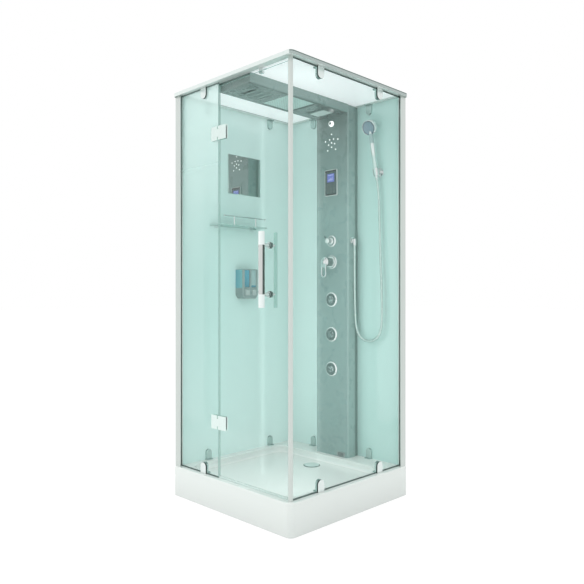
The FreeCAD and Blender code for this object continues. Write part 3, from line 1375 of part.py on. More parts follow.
def shower_hose():
    """The hose as a tube of straight runs joined by tangent arcs."""
    points = hose_route()
    edges, here, radii = [], points[0], []
    for before, corner, after in zip(points, points[1:], points[2:]):
        back, ahead = before - corner, after - corner
        short = min(back.Length, ahead.Length)
        turn = math.pi - back.getAngle(ahead)
        reach = 0.45 * short
        radius = reach / math.tan(turn / 2)
        back, ahead = back.normalize(), ahead.normalize()
        start, stop = corner + back * reach, corner + ahead * reach
        centre = corner + (back + ahead).normalize() * (radius / math.cos(turn / 2))
        middle = centre + (corner - centre).normalize() * radius
        edges += [Part.LineSegment(here, start), Part.Arc(start, middle, stop)]
        here = stop
        radii.append(radius)
    edges.append(Part.LineSegment(here, points[-1]))
    path = Part.Wire([edge.toShape() for edge in edges])
    circle = Part.Circle(points[0], Vector(0, 0, 1), hose_radius.number)
    tube = path.makePipeShell([Part.Wire([circle.toShape()])], True, False)
    node = doc.addObject("Part::Feature", "shower_hose")
    node.Label = "shower_hose"
    node.Shape = tube
    nodes.append(node)
    section = math.pi * hose_radius.number ** 2
    print("hose: length %.0f mm, least radius %.0f mm" % (path.Length, min(radii)))
    print("hose: radii", [round(radius) for radius in radii])
    print("hose: volume over section times length %.4f" % (tube.Volume / section / path.Length))


# ---------------------------------------------------------------- accessories on the left wall

def mirror():
    """Bevelled mirror plate."""
    plate = Piece("mirror")
    plate.add("YZ", wall_x, wall_x + mirror_thickness, block(mirror_front, mirror_low, mirror_back,
                                                            mirror_high))
    plate.bevel(2, lying(x=wall_x + mirror_thickness))
    plate.keep()


def shelf():
    """Glass shelf, and the fittings in chrome: two wall brackets and the rail."""
    edge = wall_x + shelf_depth
    middle = (shelf_front + shelf_back) / 2
    plate = Piece("shelf_glass")
    plate.add("XY", shelf_z - glass, shelf_z,
              outline((wall_x + 2, shelf_front), (edge, shelf_front, shelf_round),
                      (edge, shelf_back, shelf_round), (wall_x + 2, shelf_back)))
    plate.keep()
    bracket = Piece("shelf_bracket")
    half = bracket_width / 2
    bracket.add("XZ", -half, half,
                outline((wall_x, shelf_z - glass - 12), (wall_x + 10, shelf_z - glass - 12, 5),
                        (wall_x + 34, shelf_z - glass - 7, 3), (wall_x + 34, shelf_z - glass),
                        (wall_x + 2, shelf_z - glass), (wall_x + 2, shelf_z),
                        (wall_x + 26, shelf_z), (wall_x + 26, shelf_z + 6, 3), (wall_x, shelf_z + 6)))
    places = [((0, shelf_front + bracket_inset, 0), ()), ((0, shelf_back - bracket_inset, 0), ())]
    rail = Piece("shelf_rail")
    rail_x = edge - 8
    for side in (-1, 1):
        rail.solid("AdditiveCylinder", (rail_x, middle + side * rail_post, shelf_z),
                   Radius=rail_radius, Height=rail_height)
        rail.solid("AdditiveCylinder", (rail_x, middle + side * rail_post, shelf_z), Radius=7,
                   Height=3)
    length = shelf_back - shelf_front - 2 * shelf_round
    rail.solid("AdditiveCylinder", (rail_x, middle - length / 2, shelf_z + rail_height), TO_BACK,
               Radius=rail_radius, Height=length)
    for side in (-1, 1):
        rail.solid("AdditiveSphere", (rail_x, middle + side * length / 2, shelf_z + rail_height),
                   Radius=rail_radius + 1.5)
    group("shelf_fittings", [(bracket, places), (rail, [((0, 0, 0), ())])])


def soap_dispenser():
    """Two-chamber dispenser: housing, tanks, and a push lever under each tank."""
    face = wall_x + soap_depth
    sill = soap_low + soap_sill
    span = (soap_back - soap_front - 3 * soap_rib) / 2
    starts = (soap_front + soap_rib, soap_front + soap_rib * 2 + span)
    housing = Piece("dispenser_housing")
    housing.add("YZ", wall_x, face, outline((soap_front, soap_high, 6), (soap_back, soap_high, 6),
                                            (soap_back, soap_low + 22, 8), (soap_back - 16, soap_low, 10),
                                            (soap_front + 16, soap_low, 10),
                                            (soap_front, soap_low + 22, 8)))
    housing.round(4, lying(x=face))
    tanks = Piece("dispenser_tanks")
    inset = 0.3
    for start in starts:
        low, high = start, start + span
        housing.cut("YZ", wall_x + soap_wall, face,
                    block(low, sill, high, soap_high - soap_wall, 4))
        tanks.add("YZ", wall_x + soap_wall + inset, face - 1,
                  block(low + inset, sill + inset, high - inset, soap_high - soap_wall - inset, 4))
    button_top = sill - 14
    pocket = button_thickness - button_proud + button_travel + slack * 2
    for start in starts:
        middle = start + span / 2
        half = button_width / 2 + slack
        housing.cut("YZ", face - pocket, face,
                    block(middle - half, button_top - button_height - slack, middle + half,
                          button_top + slack, 3))
    housing.keep()
    tanks.round(3, lying(x=face - 1))
    tanks.keep()
    for word, start in zip(("left", "right"), starts):
        middle = start + span / 2
        button = Piece("dispenser_lever_" + word)
        half = button_width / 2
        button.add("YZ", face + button_proud - button_thickness, face + button_proud,
                   block(middle - half, button_top - button_height, middle + half, button_top, 3))
        button.round(2.5, lying(x=face + button_proud))
        button.keep()


# ---------------------------------------------------------------- console under the roof

def console_housing():
    """Moulded console with its three recesses, open towards the roof."""
    half, low, high = column_half, console_under, panel_under
    front, back = -console_front, column_y
    inner = shell_in
    console = Piece("console_housing")
    console.add("XZ", front, back,
                outline((-half, high), (-half, low, console_round), (half, low, console_round),
                        (half, high), (inner, high), (inner, low + shell, console_round - shell),
                        (-inner, low + shell, console_round - shell), (-inner, high)))
    solid = outline((-half, high), (-half, low, console_round), (half, low, console_round),
                    (half, high))
    console.add("XZ", front, front + shell, solid)
    console.add("XZ", back - shell, back, solid)
    recesses = (((-rain_half_x, rain_front, rain_half_x, rain_back), rain_recess),
                ((-vent_half_x, fan_front, vent_half_x, fan_back), vent_depth),
                ((-vent_half_x, lamp_front, vent_half_x, lamp_back), vent_depth))
    for (x0, y0, x1, y1), depth in recesses:
        console.add("XY", low + shell / 2, low + depth + shell,
                    block(x0 - shell, y0 - shell, x1 + shell, y1 + shell))
        console.cut("XY", low, low + depth, block(x0, y0, x1, y1))
    rain_y = (rain_front + rain_back) / 2
    console.cut("XY", low + rain_recess, low + rain_recess + shell, disc(0, rain_y, pipe_radius + 1))
    console.cut("XY", low + vent_depth, low + vent_depth + shell, disc(0, fan_y, fan_radius))
    console.cut("XZ", back - shell, back, disc(0, rain_pipe_z(), pipe_radius + 1))
    console.round(2, lying(y=front))
    console.keep()


def rain_shower_plate():
    """Square polished rain plate with its inlet neck."""
    rain_y = (rain_front + rain_back) / 2
    top = console_under + rain_recess
    plate = Piece("rain_shower_plate")
    plate.add("XY", top - rain_thickness, top,
              block(rain_margin - rain_half_x, rain_front + rain_margin, rain_half_x - rain_margin,
                    rain_back - rain_margin, 6))
    plate.round(1.5, lying(z=top - rain_thickness))
    plate.add("XY", top, top + shell + 1, disc(0, rain_y, pipe_radius))
    plate.keep()


def fan_grille():
    """Grille of the fan: a wide intake slot at the front and two bands of louvres."""
    bottom = vent_top - grille_thickness
    half, low, high = vent_half_x - 0.4, fan_front + 0.4, fan_back - 0.4
    slot = half - 8
    grille = Piece("fan_grille")
    grille.add("XY", bottom, vent_top, block(-half, low, half, high))
    grille.cut("XY", bottom, vent_top, block(-slot, low + 10, slot, low + 38))
    for band in (48, 92):
        grille.cut("XY", bottom, vent_top,
                   *[block(-slot, low + band + step * 9, slot, low + band + 5 + step * 9)
                     for step in range(4)])
    grille.bevel(1.5, either(lying(z=bottom, x=half), lying(z=bottom, x=-half),
                             lying(z=bottom, y=low), lying(z=bottom, y=high)))
    grille.keep()


def fan():
    """Exhaust fan: frame with its motor arms and outlet neck, and the bladed rotor."""
    low, high = vent_top + shell, vent_top + shell + fan_height
    outer = fan_radius + 4
    housing = Piece("fan_housing")
    housing.add("XY", 0, fan_height, block(-outer, -outer, outer, outer, 5), disc(0, 0, fan_radius))
    housing.add("XY", fan_height - 4, fan_height, disc(0, 0, fan_hub + 1))
    housing.add("XY", fan_height - 4, fan_height, block(-fan_radius - 1, -2.5, fan_radius + 1, 2.5))
    housing.add("XY", fan_height - 4, fan_height, block(-2.5, -fan_radius - 1, 2.5, fan_radius + 1))
    housing.add("XY", fan_height, panel_under - low, disc(0, 0, fan_radius + 3),
                disc(0, 0, fan_radius))
    housing.add("XY", 4, fan_height - 3, disc(0, 0, fan_shaft))
    housing.at((0, fan_y, low)).keep()
    rotor = Piece("fan_rotor")
    top = fan_height - 4 - slack
    rotor.add("XY", 2, top, disc(0, 0, fan_hub))
    rotor.cut("XY", 3.7, top, disc(0, 0, fan_shaft + pin_fit))
    rotor.round(2, lying(z=2))
    tip = fan_radius - blade_gap
    blade = rotor.feature("PartDesign::Pad", "blade")
    blade.Profile = rotor.sketch("YZ", fan_hub - 2, [outline((-9, 3), (-7, 3), (9, top - 1),
                                                            (7, top - 1))])
    length = tip - fan_hub
    blade.Length = length.number
    bind(blade, "Length", length)
    doc.recompute()
    wheel = rotor.feature("PartDesign::PolarPattern", "blades")
    wheel.Originals = [blade]
    axes = [part for part in rotor.body.Origin.OriginFeatures if part.Role == "Z_Axis"]
    wheel.Axis = (axes[0], [""])
    wheel.Angle = 360
    wheel.Occurrences = FAN_BLADES
    rotor.body.Tip = wheel
    rotor.at((0, fan_y, low)).keep()


def lamp_lens():
    """Lamp plate: a dark slot at the front and the domed lens behind it."""
    bottom = vent_top - grille_thickness
    half, low, high = vent_half_x - 0.4, lamp_front + 0.4, lamp_back - 0.4
    lens = Piece("lamp_lens")
    lens.add("XY", bottom, vent_top, block(-half, low, half, high))
    lens.cut("XY", bottom, vent_top, block(8 - half, low + 9, half - 8, low + 34))
    lens.add("XY", bottom - 1.6, bottom, block(8 - half, low + 43, half - 8, high - 9, 6))
    lens.bevel(1.2, lying(z=bottom - 1.6))
    lens.keep()


# ---------------------------------------------------------------- the whole cabin

for build in (shower_tray, tray_frame, leveling_feet, drain_trap, drain_cover, back_walls,
              wall_profiles, corner_post, roof_panel, roof_frame,
              fixed_panes, pane_gaskets, glass_clips, door_stop, hinges, door_glass, door_seals,
              door_handles, column_cover, column_back, steam_outlet, steam_generator, mixer_valve,
              supply_pipes, speaker, speaker_studs, top_nozzle, control_panel, column_rosettes,
              mixer_spindle, mixer_lever, diverter_knob, jet_nozzles, hose_elbow, handset_holder,
              handset_cradle, handset, shower_hose, mirror, shelf, soap_dispenser,
              console_housing, rain_shower_plate, fan_grille, fan, lamp_lens):
    build()
doc.recompute()

faults = [thing.Name for thing in doc.Objects
          if "Invalid" in thing.State or "Error" in thing.State]
for thing in doc.Objects:
    if not thing.isDerivedFrom("PartDesign::Feature"):
        continue
    if thing.Shape.isNull():
        faults.append(thing.Name + " is empty")
    elif thing.BaseFeature is not None and not thing.BaseFeature.Shape.isNull():
        change = thing.Shape.Volume - thing.BaseFeature.Shape.Volume
        removes = thing.TypeId.split("::")[1].startswith(("Pocket", "Groove", "Subtractive"))
        if abs(change) < 1e-3 or (removes and change > 0):
            faults.append(thing.Name + " changes nothing")
for node in nodes:
    if node.Shape.isNull() or not node.Shape.isValid() or not node.Shape.Solids:
        faults.append(node.Label + " has no sound shape")
if faults:
    raise RuntimeError("not built: " + ", ".join(faults))

os.makedirs("parts", exist_ok=True)
for node in nodes:
    node.Shape.exportStep("parts/%s.step" % node.Label)
print("%d nodes, %d solids" % (len(nodes), sum(len(node.Shape.Solids) for node in nodes)))
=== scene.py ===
"""Looks of the steam shower cabin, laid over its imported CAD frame.

Laid out as an add-on: settings, one operator for each group of pieces, a panel that lists them.
"""

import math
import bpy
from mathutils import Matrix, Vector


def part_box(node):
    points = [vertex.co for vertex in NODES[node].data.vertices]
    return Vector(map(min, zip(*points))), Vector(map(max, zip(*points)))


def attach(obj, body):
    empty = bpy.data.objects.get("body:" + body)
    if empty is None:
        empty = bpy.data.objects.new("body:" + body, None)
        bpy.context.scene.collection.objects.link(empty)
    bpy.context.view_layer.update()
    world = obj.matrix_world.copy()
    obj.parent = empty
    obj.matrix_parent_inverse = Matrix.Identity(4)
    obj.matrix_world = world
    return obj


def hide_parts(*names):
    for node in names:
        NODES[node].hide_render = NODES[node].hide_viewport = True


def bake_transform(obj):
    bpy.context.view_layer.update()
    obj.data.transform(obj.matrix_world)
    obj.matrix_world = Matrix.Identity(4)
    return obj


bl_info = {
    "name": "Steam Shower Cabin Looks",
    "version": (1, 0, 0),
    "blender": (4, 5, 0),
    "location": "3D View > Sidebar > Shower",
    "description": "Finishes and fine pieces of a corner steam shower cabin",
    "category": "Object",
}

import bmesh
import bpy
from bpy.props import FloatProperty, FloatVectorProperty, IntProperty, PointerProperty
from mathutils import Matrix, Vector

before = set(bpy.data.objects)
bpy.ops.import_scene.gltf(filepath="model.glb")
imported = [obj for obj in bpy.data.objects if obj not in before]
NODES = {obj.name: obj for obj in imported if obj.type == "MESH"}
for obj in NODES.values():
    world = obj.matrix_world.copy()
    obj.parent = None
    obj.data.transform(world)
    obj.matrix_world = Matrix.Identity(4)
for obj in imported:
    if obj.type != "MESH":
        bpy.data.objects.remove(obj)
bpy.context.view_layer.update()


def rgb(red, green, blue):
    """A colour read off a colour chart in steps of 0 to 255, made linear for the shaders."""
    def linear(step):
        part = step / 255
        return part / 12.92 if part <= 0.04045 else ((part + 0.055) / 1.055) ** 2.4
    return (linear(red), linear(green), linear(blue))


# ------------------------------------------------------------------ settings

def colour(name, words, *chart):
    """A colour setting, its default in the steps of a colour chart."""
    return FloatVectorProperty(name=name, description=words, subtype="COLOR", size=3, min=0,
                               max=1, default=rgb(*chart))


def length(name, words, metres):
    """A size setting."""
    return FloatProperty(name=name, description=words, unit="LENGTH", min=0, default=metres,
                         precision=5)


def share(name, words, value):
    """A setting from none to all."""
    return FloatProperty(name=name, description=words, subtype="FACTOR", min=0, max=1,
                         default=value)


class ShowerColours(bpy.types.PropertyGroup):
    wall: colour("Wall", "Paint behind the glass of the back walls", 180, 217, 211)
    # Painted light: the same paint, lightened where the wall catches more light.
    wall_light: colour("Wall, lit", "The same paint where it catches the light", 222, 246, 242)
    glass: colour("Glass", "Body of the clear glass", 226, 244, 240)
    glass_edge: colour("Glass edge", "Cut edge of the clear glass", 158, 194, 187)
    acrylic: colour("Acrylic", "Tray", 236, 240, 237)
    column: colour("Column", "Lacquer of column and console", 126, 156, 152)
    # Painted light and painted shade: the same lacquer, paler on the flanks and darker in the
    # console's shade.
    column_side_lit: colour("Column side", "The lacquer on the column's flanks", 150, 180, 175)
    column_head: colour("Column head", "The lacquer in the console's shade", 103, 124, 120)
    aluminium: colour("Aluminium", "Profiles and post", 212, 219, 215)
    rim: colour("Roof rim", "Skirt of the roof rim", 226, 234, 231)
    # Painted shade: the same skirt, greyer over the side pane.
    rim_side_shade: colour("Roof rim, side", "The skirt over the side pane", 176, 188, 185)
    chrome: colour("Chrome", "Polished fittings", 226, 230, 230)
    roof: colour("Roof", "Roof panel", 236, 244, 244)
    rubber: colour("Rubber", "Gaskets", 112, 132, 128)
    # Painted shade: the colour laid in the grooves and gaps of the fittings.
    dark: colour("Dark plating", "Grooves of the fittings", 88, 112, 109)
    liquid: colour("Liquid", "Soap in the tanks", 70, 150, 170)
    dispenser: colour("Dispenser", "Housing of the soap dispenser", 126, 150, 147)
    display: colour("Display", "Lit display of the control panel", 104, 117, 193)


class ShowerSizes(bpy.types.PropertyGroup):
    hose_pitch: length("Hose pitch", "From one ridge of the hose to the next", 0.0032)
    hose_groove: length("Hose groove", "Depth between two ridges", 0.0006)
    nub: length("Nub", "Radius of a soft nozzle of the hand shower", 0.0011)
    rain_nub: length("Rain nub", "Radius of a soft nozzle of the rain plate", 0.0016)
    rain_rows: IntProperty(name="Rain rows", description="Rows of nozzles in the rain plate",
                           min=3, max=15, default=11)
    # The haze is partly a veil on the glass and partly painted reflection in streaks; the pane
    # sheen is a painted reflection.
    haze: share("Glass haze", "How much the clear glass veils what is behind it", 0.035)
    sheen: share("Pane sheen", "Light that the pane beside the door catches near its head", 0.4)


# ------------------------------------------------------------------ shader maths

def plug(tree, slot, value):
    """Feed an input of a node: link a wire, or set a plain value."""
    if isinstance(value, Wire):
        tree.links.new(value.socket, slot)
    elif hasattr(value, "__len__") and slot.type == "RGBA" and len(value) == 3:
        slot.default_value = (*value, 1)
    else:
        slot.default_value = value


def maths(operation, reflected=False):
    """An operator of Wire that adds one Math node."""
    def apply(self, other):
        return self.math(operation, other, first=reflected)
    return apply


class Wire:
    """A socket of a node tree; arithmetic on it adds the Math nodes."""

    def __init__(self, tree, socket):
        self.tree = tree
        self.socket = socket

    def math(self, operation, *others, first=False):
        """A Math node on this wire and others, which come first if asked."""
        node = self.tree.nodes.new("ShaderNodeMath")
        node.operation = operation
        values = (*others, self) if first else (self, *others)
        for slot, value in zip(node.inputs, values):
            plug(self.tree, slot, value)
        return Wire(self.tree, node.outputs[0])

    __add__, __radd__ = maths("ADD"), maths("ADD", reflected=True)
    __sub__, __rsub__ = maths("SUBTRACT"), maths("SUBTRACT", reflected=True)
    __mul__, __rmul__ = maths("MULTIPLY"), maths("MULTIPLY", reflected=True)
    __truediv__, __rtruediv__ = maths("DIVIDE"), maths("DIVIDE", reflected=True)
    __pow__, __rpow__ = maths("POWER"), maths("POWER", reflected=True)
    __gt__, __lt__ = maths("GREATER_THAN"), maths("LESS_THAN")
    most, least = maths("MAXIMUM"), maths("MINIMUM")

    def __abs__(self):
        return self.math("ABSOLUTE")

    def sine(self):
        return self.math("SINE")

    def clamped(self):
        """Held between 0 and 1."""
        return self.least(1.0).most(0.0)


class Graph:
    """A node tree, and what adds nodes to it."""

    def __init__(self, tree):
        self.tree = tree

    def add(self, kind, settings=None, values=(), output=0, **sockets):
        """A node of a kind: its settings, then its sockets, in their order or by name."""
        node = self.tree.nodes.new("ShaderNode" + kind)
        for name, value in (settings or {}).items():
            setattr(node, name, value)
        for slot, value in zip(node.inputs, values):
            plug(self.tree, slot, value)
        for name, value in sockets.items():
            slots = [slot for slot in node.inputs if slot.enabled
                     and slot.name.replace(" ", "_").lower() == name]
            plug(self.tree, slots[0], value)
        return Wire(self.tree, node.outputs[output])

    def in_sight(self):
        """1 for what the camera sees, also in polished metal and through glass."""
        rays = self.add("LightPath").socket.node.outputs
        straight, mirrored, through = [Wire(self.tree, rays[name]) for name in (
            "Is Camera Ray", "Is Glossy Ray", "Is Transmission Ray")]
        return straight.most(mirrored).most(through)


class Finish(Graph):
    """One material: a Principled shader and the nodes that feed it."""

    def __init__(self, name, **sockets):
        self.material = bpy.data.materials.new(name)
        self.material.use_nodes = True
        super().__init__(self.material.node_tree)
        self.shader = self.tree.nodes["Principled BSDF"]
        self.set(**sockets)

    def set(self, **sockets):
        """Set or feed sockets of the shader, named in lower case with underscores."""
        for name, value in sockets.items():
            label = name.upper() if name == "ior" else name.replace("_", " ").title()
            plug(self.tree, self.shader.inputs[label], value)
        return self

    def place(self, stretch=(1, 1, 1)):
        """Where the surface is, in metres along the cabin's own axes."""
        where = self.add("TexCoord", output="Object")
        if stretch == (1, 1, 1):
            return where
        return self.add("Mapping", {"vector_type": "POINT"}, vector=where, scale=stretch)

    def axes(self, wire=None):
        """The three parts of a vector, of the place on the surface if none is given."""
        parts = self.add("SeparateXYZ", vector=wire or self.place()).socket.node
        return [Wire(self.tree, slot) for slot in parts.outputs]

    def along(self, direction, centre=(0, 0, 0)):
        """How far the place lies along a direction from a centre."""
        off = self.add("VectorMath", {"operation": "SUBTRACT"}, (self.place(), centre))
        return self.add("VectorMath", {"operation": "DOT_PRODUCT"}, (off, direction),
                        output="Value")

    def faces(self):
        """Which way the surface faces, along the cabin's own axes."""
        return self.axes(self.add("TexCoord", output="Normal"))

    def noise(self, scale, detail=2.0, stretch=(1, 1, 1)):
        """Soft noise from 0 to 1, finer as the scale grows."""
        return self.add("TexNoise", vector=self.place(stretch), scale=scale, detail=detail)

    def mix(self, factor, one, other):
        """One colour going over into another."""
        node = self.tree.nodes.new("ShaderNodeMix")
        node.data_type = "RGBA"
        for index, value in ((0, factor), (6, one), (7, other)):
            plug(self.tree, node.inputs[index], value)
        return Wire(self.tree, node.outputs[2])

    def bump(self, height, distance, strength=1.0):
        """Fine relief that the shapes are too coarse for."""
        self.set(normal=self.add("Bump", height=height, distance=distance, strength=strength))
        return self

    def shade(self, tint, amount=0.04, scale=6.0):
        """The tint with a slow, slight drift of brightness."""
        dark = tuple(part * (1 - amount) for part in tint)
        return self.set(base_color=self.mix(self.noise(scale), dark, tuple(tint)))


def step(wire, low, high):
    """0 below low, 1 above high, straight between them."""
    return ((wire - low) / (high - low)).clamped()


# ------------------------------------------------------------------ finishes

# Heights over the floor and reaches from the middle, in metres, where a finish changes.
BASIN_REACH, BASIN_FOOT = 0.42, 0.03
APRON_HEIGHT = 0.12
WALL_MIDDLE = 1.15
SHEEN_FOOT, SHEEN_HEAD = 1.05, 2.0
SHADE_FOOT, SHADE_HEAD = 1.55, 2.12
GASKET_FOOT, GASKET_HEAD = 0.19, 2.12
DIVERTER_LEVEL = 1.412


def colours():
    return bpy.context.scene.shower_colours


def sizes():
    return bpy.context.scene.shower_sizes


def level_of(node):
    """Height of the middle of a node."""
    low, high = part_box(node)
    return (low.z + high.z) / 2


def clear_glass(name, across, haze, sheen=0.0, tint=None):
    """Toughened glass: clear faces with a faint veil in streaks, partly haze and partly painted
    reflection, and green cut edges.

    across is the axis through the pane's thickness; the sheen, a painted reflection, grows towards
    its head.
    """
    tint, edge = tint or tuple(colours().glass), tuple(colours().glass_edge)
    finish = Finish(name, roughness=0.03, ior=1.5)
    facing = finish.faces()[across]
    on_edge = abs(facing) < 0.5
    grazing = finish.add("LayerWeight", output="Facing", blend=0.35) ** 3.0
    # The veil's streaks are partly haze and partly painted reflection.
    streak = finish.noise(1.3, 1.0, (1.0, 1.0, 0.35))
    veil = haze * (0.6 + 0.8 * streak)
    if sheen:
        # Painted reflection: the sheen whitens the pane towards its head.
        veil = veil + sheen * step(finish.axes()[2], SHEEN_FOOT, SHEEN_HEAD) ** 1.8
    finish.set(base_color=finish.mix(on_edge, tint, edge),
               alpha=(veil + 0.35 * grazing).most(on_edge * 0.9).clamped())
    return finish.material


def painted_glass(name, along, span, lengthwise, towards_ends):
    """Glass wall painted on its back: even colour under a smooth, glossy face.

    Painted light lightens the paint along an axis over a span, and towards the wall's foot and
    head.
    """
    paint, light = tuple(colours().wall), tuple(colours().wall_light)
    finish = Finish(name, ior=1.5, coat_weight=0.6, coat_roughness=0.02)
    axes = finish.axes()
    ends = abs(axes[2] - WALL_MIDDLE)
    drift = finish.noise(0.9, 1.0)
    # Painted light: how far the paint turns to its lit colour.
    lit = (lengthwise * step(axes[along], *span) + towards_ends * ends * ends
           + 0.1 * drift).clamped()
    finish.set(base_color=finish.mix(lit, paint, light),
               roughness=0.06 + 0.05 * finish.noise(22.0))
    return finish.material


def acrylic():
    """Vacuum-formed acrylic: glossy, slightly wavy, with painted shade at the foot and on the
    basin's sloping sides.
    """
    finish = Finish("Tray acrylic", coat_weight=0.35, coat_roughness=0.05)
    tint = tuple(colours().acrylic)
    # Painted shade: foot darkens the apron towards the floor, side darkens the basin's sloping
    # sides.
    foot = tuple(part * 0.9 for part in tint)
    side = tuple(part * share for part, share in zip(tint, (0.85, 0.905, 0.895)))
    x, y, height = finish.axes()
    basin = (abs(x) < BASIN_REACH) * (abs(y) < BASIN_REACH) * (height > BASIN_FOOT)
    shaded_slope = basin * step(1 - abs(finish.faces()[2]), 0.05, 0.4)
    outer = finish.mix(step(height, 0.0, APRON_HEIGHT), foot, tint)
    finish.set(base_color=finish.mix(shaded_slope, outer, side),
               roughness=0.24 + 0.04 * finish.noise(3.0))
    return finish.bump(finish.noise(3.0, 1.0), 0.0002, 0.15).material


def chrome(name="Chrome", roughness=0.07, tint=None):
    """Polished plating, with faint wipe marks in its gloss."""
    finish = Finish(name, metallic=1.0)
    finish.shade(tint or colours().chrome, 0.06, 30.0)
    marks = finish.noise(60.0, 3.0, (1, 1, 0.3))
    finish.set(roughness=roughness + 0.07 * marks)
    return finish.material


def aluminium():
    """Satin aluminium, brushed along its upright length."""
    finish = Finish("Satin aluminium", metallic=0.55)
    lines = finish.noise(320.0, 3.0, (1, 1, 0.01))
    finish.shade(colours().aluminium, 0.05, 3.0)
    finish.set(roughness=0.32 + 0.14 * lines)
    return finish.bump(lines, 0.0001, 0.3).material


def rim_aluminium():
    """The roof rim's skirt: pale over the door, with painted shade over the side pane and in a thin
    groove near its top.
    """
    finish = Finish("Rim aluminium", metallic=0.35)
    # Painted shade over the side pane and in the thin groove under its top edge.
    side = finish.faces()[0] > 0.5
    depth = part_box("roof_frame")[1].z - finish.axes()[2]
    groove = (depth < 0.0062) * (depth > 0.0028) * side
    lines = finish.noise(320.0, 3.0, (0.02, 0.02, 1))
    skirt = finish.mix(side, tuple(colours().rim), tuple(colours().rim_side_shade))
    finish.set(base_color=finish.mix(groove, skirt, rgb(84, 102, 98)),
               roughness=0.34 + 0.12 * lines)
    return finish.bump(lines, 0.0001, 0.25).material


def steel():
    """Galvanised steel with its spangle."""
    finish = Finish("Galvanised steel", metallic=0.85)
    grains = finish.add("TexVoronoi", vector=finish.place(), scale=90.0)
    finish.set(base_color=finish.mix(grains, rgb(150, 155, 158), rgb(196, 200, 202)),
               roughness=0.36 + 0.2 * grains)
    return finish.material


def plastic(name, tint, roughness=0.4, coat=0.0):
    """Moulded plastic with a fine grain."""
    finish = Finish(name, coat_weight=coat, coat_roughness=0.08)
    finish.shade(tint, 0.06, 8.0)
    finish.set(roughness=roughness + 0.1 * finish.noise(40.0))
    return finish.bump(finish.noise(900.0, 2.0), 0.00005, 0.35).material


def rubber():
    """Gaskets: dark under and over the panes, and painted paler in the strips that stand upright:
    painted light.
    """
    finish = Finish("Gasket rubber")
    height = finish.axes()[2]
    upright = (height > GASKET_FOOT) * (height < GASKET_HEAD)
    tint = tuple(colours().rubber)
    plain = finish.mix(finish.noise(12.0), tuple(part * 0.8 for part in tint), tint)
    # Painted light lifts the upright strips to a paler grey.
    finish.set(base_color=finish.mix(upright, plain, rgb(176, 196, 191)),
               roughness=0.62 + 0.15 * finish.noise(70.0))
    return finish.bump(finish.noise(700.0, 2.0), 0.0001, 0.4).material


def lacquer():
    """Glossy lacquer, with painted light on the flanks and painted shade at the head and under the
    console.
    """
    finish = Finish("Column lacquer", coat_weight=0.5, coat_roughness=0.06)
    height = finish.axes()[2]
    normal = finish.faces()
    flank, under = normal[0] * normal[0] > 0.36, normal[2] < -0.6
    # Painted light on the flanks; painted shade towards the head and on the faces under the
    # console.
    plain = finish.mix(flank, tuple(colours().column), tuple(colours().column_side_lit))
    cloud = finish.noise(1.6, 1.0, (1, 1, 0.3))
    shade = (step(height, SHADE_FOOT, SHADE_HEAD) * (1 - 0.4 * flank) + 0.14 * cloud).clamped()
    head = finish.mix(under, tuple(colours().column_head), rgb(88, 107, 103))
    finish.set(base_color=finish.mix(shade, plain, head),
               roughness=0.24 + 0.08 * finish.noise(16.0))
    return finish.bump(finish.noise(420.0, 2.0), 0.00004, 0.25).material


def roof_sheet():
    """Opal roof panel with a painted glow: its emission stands in for daylight coming through it.
    """
    # Painted light: the emission makes the panel glow, though it is no lamp.
    finish = Finish("Opal roof", coat_weight=0.3, emission_strength=0.35)
    finish.shade(colours().roof, 0.03, 1.6)
    finish.set(roughness=0.3 + 0.1 * finish.noise(12.0),
               emission_color=finish.mix(finish.noise(0.8), rgb(240, 236, 240), rgb(250, 246, 250)))
    return finish.material


def mirror_silver():
    """Silvered glass; its bevelled rim is a little duller."""
    finish = Finish("Mirror", metallic=1.0)
    low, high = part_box("mirror")
    _, across, up = finish.axes()
    middle, inner = (low + high) / 2, (high - low) / 2 - Vector((0, 0.002, 0.002))
    rim = (abs(across - middle.y) > inner.y).most(abs(up - middle.z) > inner.z)
    finish.set(base_color=finish.mix(rim, rgb(236, 240, 239), rgb(205, 220, 216)),
               roughness=0.012 + 0.12 * rim + 0.01 * finish.noise(8.0))
    return finish.material


def soap_tank():
    """Two tinted tanks with the soap standing high in one and low in the other."""
    finish = Finish("Soap tank", ior=1.45, coat_weight=0.6, coat_roughness=0.03)
    low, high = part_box("dispenser_tanks")
    _, along, height = finish.axes()
    near_full = 1 - (along > (low.y + high.y) / 2)
    rest = 0.15 + 1.4 * near_full
    above = step(height, low.z + 0.075 * rest, low.z + 0.077 * rest)
    full, empty = tuple(colours().liquid), rgb(146, 178, 177)
    depth = finish.mix(step(height, low.z, low.z + 0.06), tuple(part * 0.72 for part in full),
                       full)
    finish.set(base_color=finish.mix(above, depth, empty),
               roughness=0.12 + 0.05 * finish.noise(30.0))
    return finish.material


def dispenser_case():
    """Grey case of the dispenser; its near flank is clear and shows the soap behind it."""
    finish = Finish("Dispenser grey", coat_weight=0.4, coat_roughness=0.08)
    low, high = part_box("dispenser_housing")
    x, _, height = finish.axes()
    near = finish.faces()[1] < -0.6
    foot = low.z + (high.z - low.z) * 0.36
    window = near * (height > foot) * (height < high.z - 0.004) * (x < high.x - 0.006)
    tint = tuple(colours().dispenser)
    grey = finish.mix(finish.noise(8.0), tuple(part * 0.94 for part in tint), tint)
    soap = finish.mix(step(x, low.x, high.x), rgb(72, 152, 172), rgb(112, 184, 186))
    finish.set(base_color=finish.mix(window, grey, soap),
               roughness=0.26 + 0.1 * finish.noise(40.0))
    return finish.bump(finish.noise(900.0, 2.0), 0.00005, 0.35).material


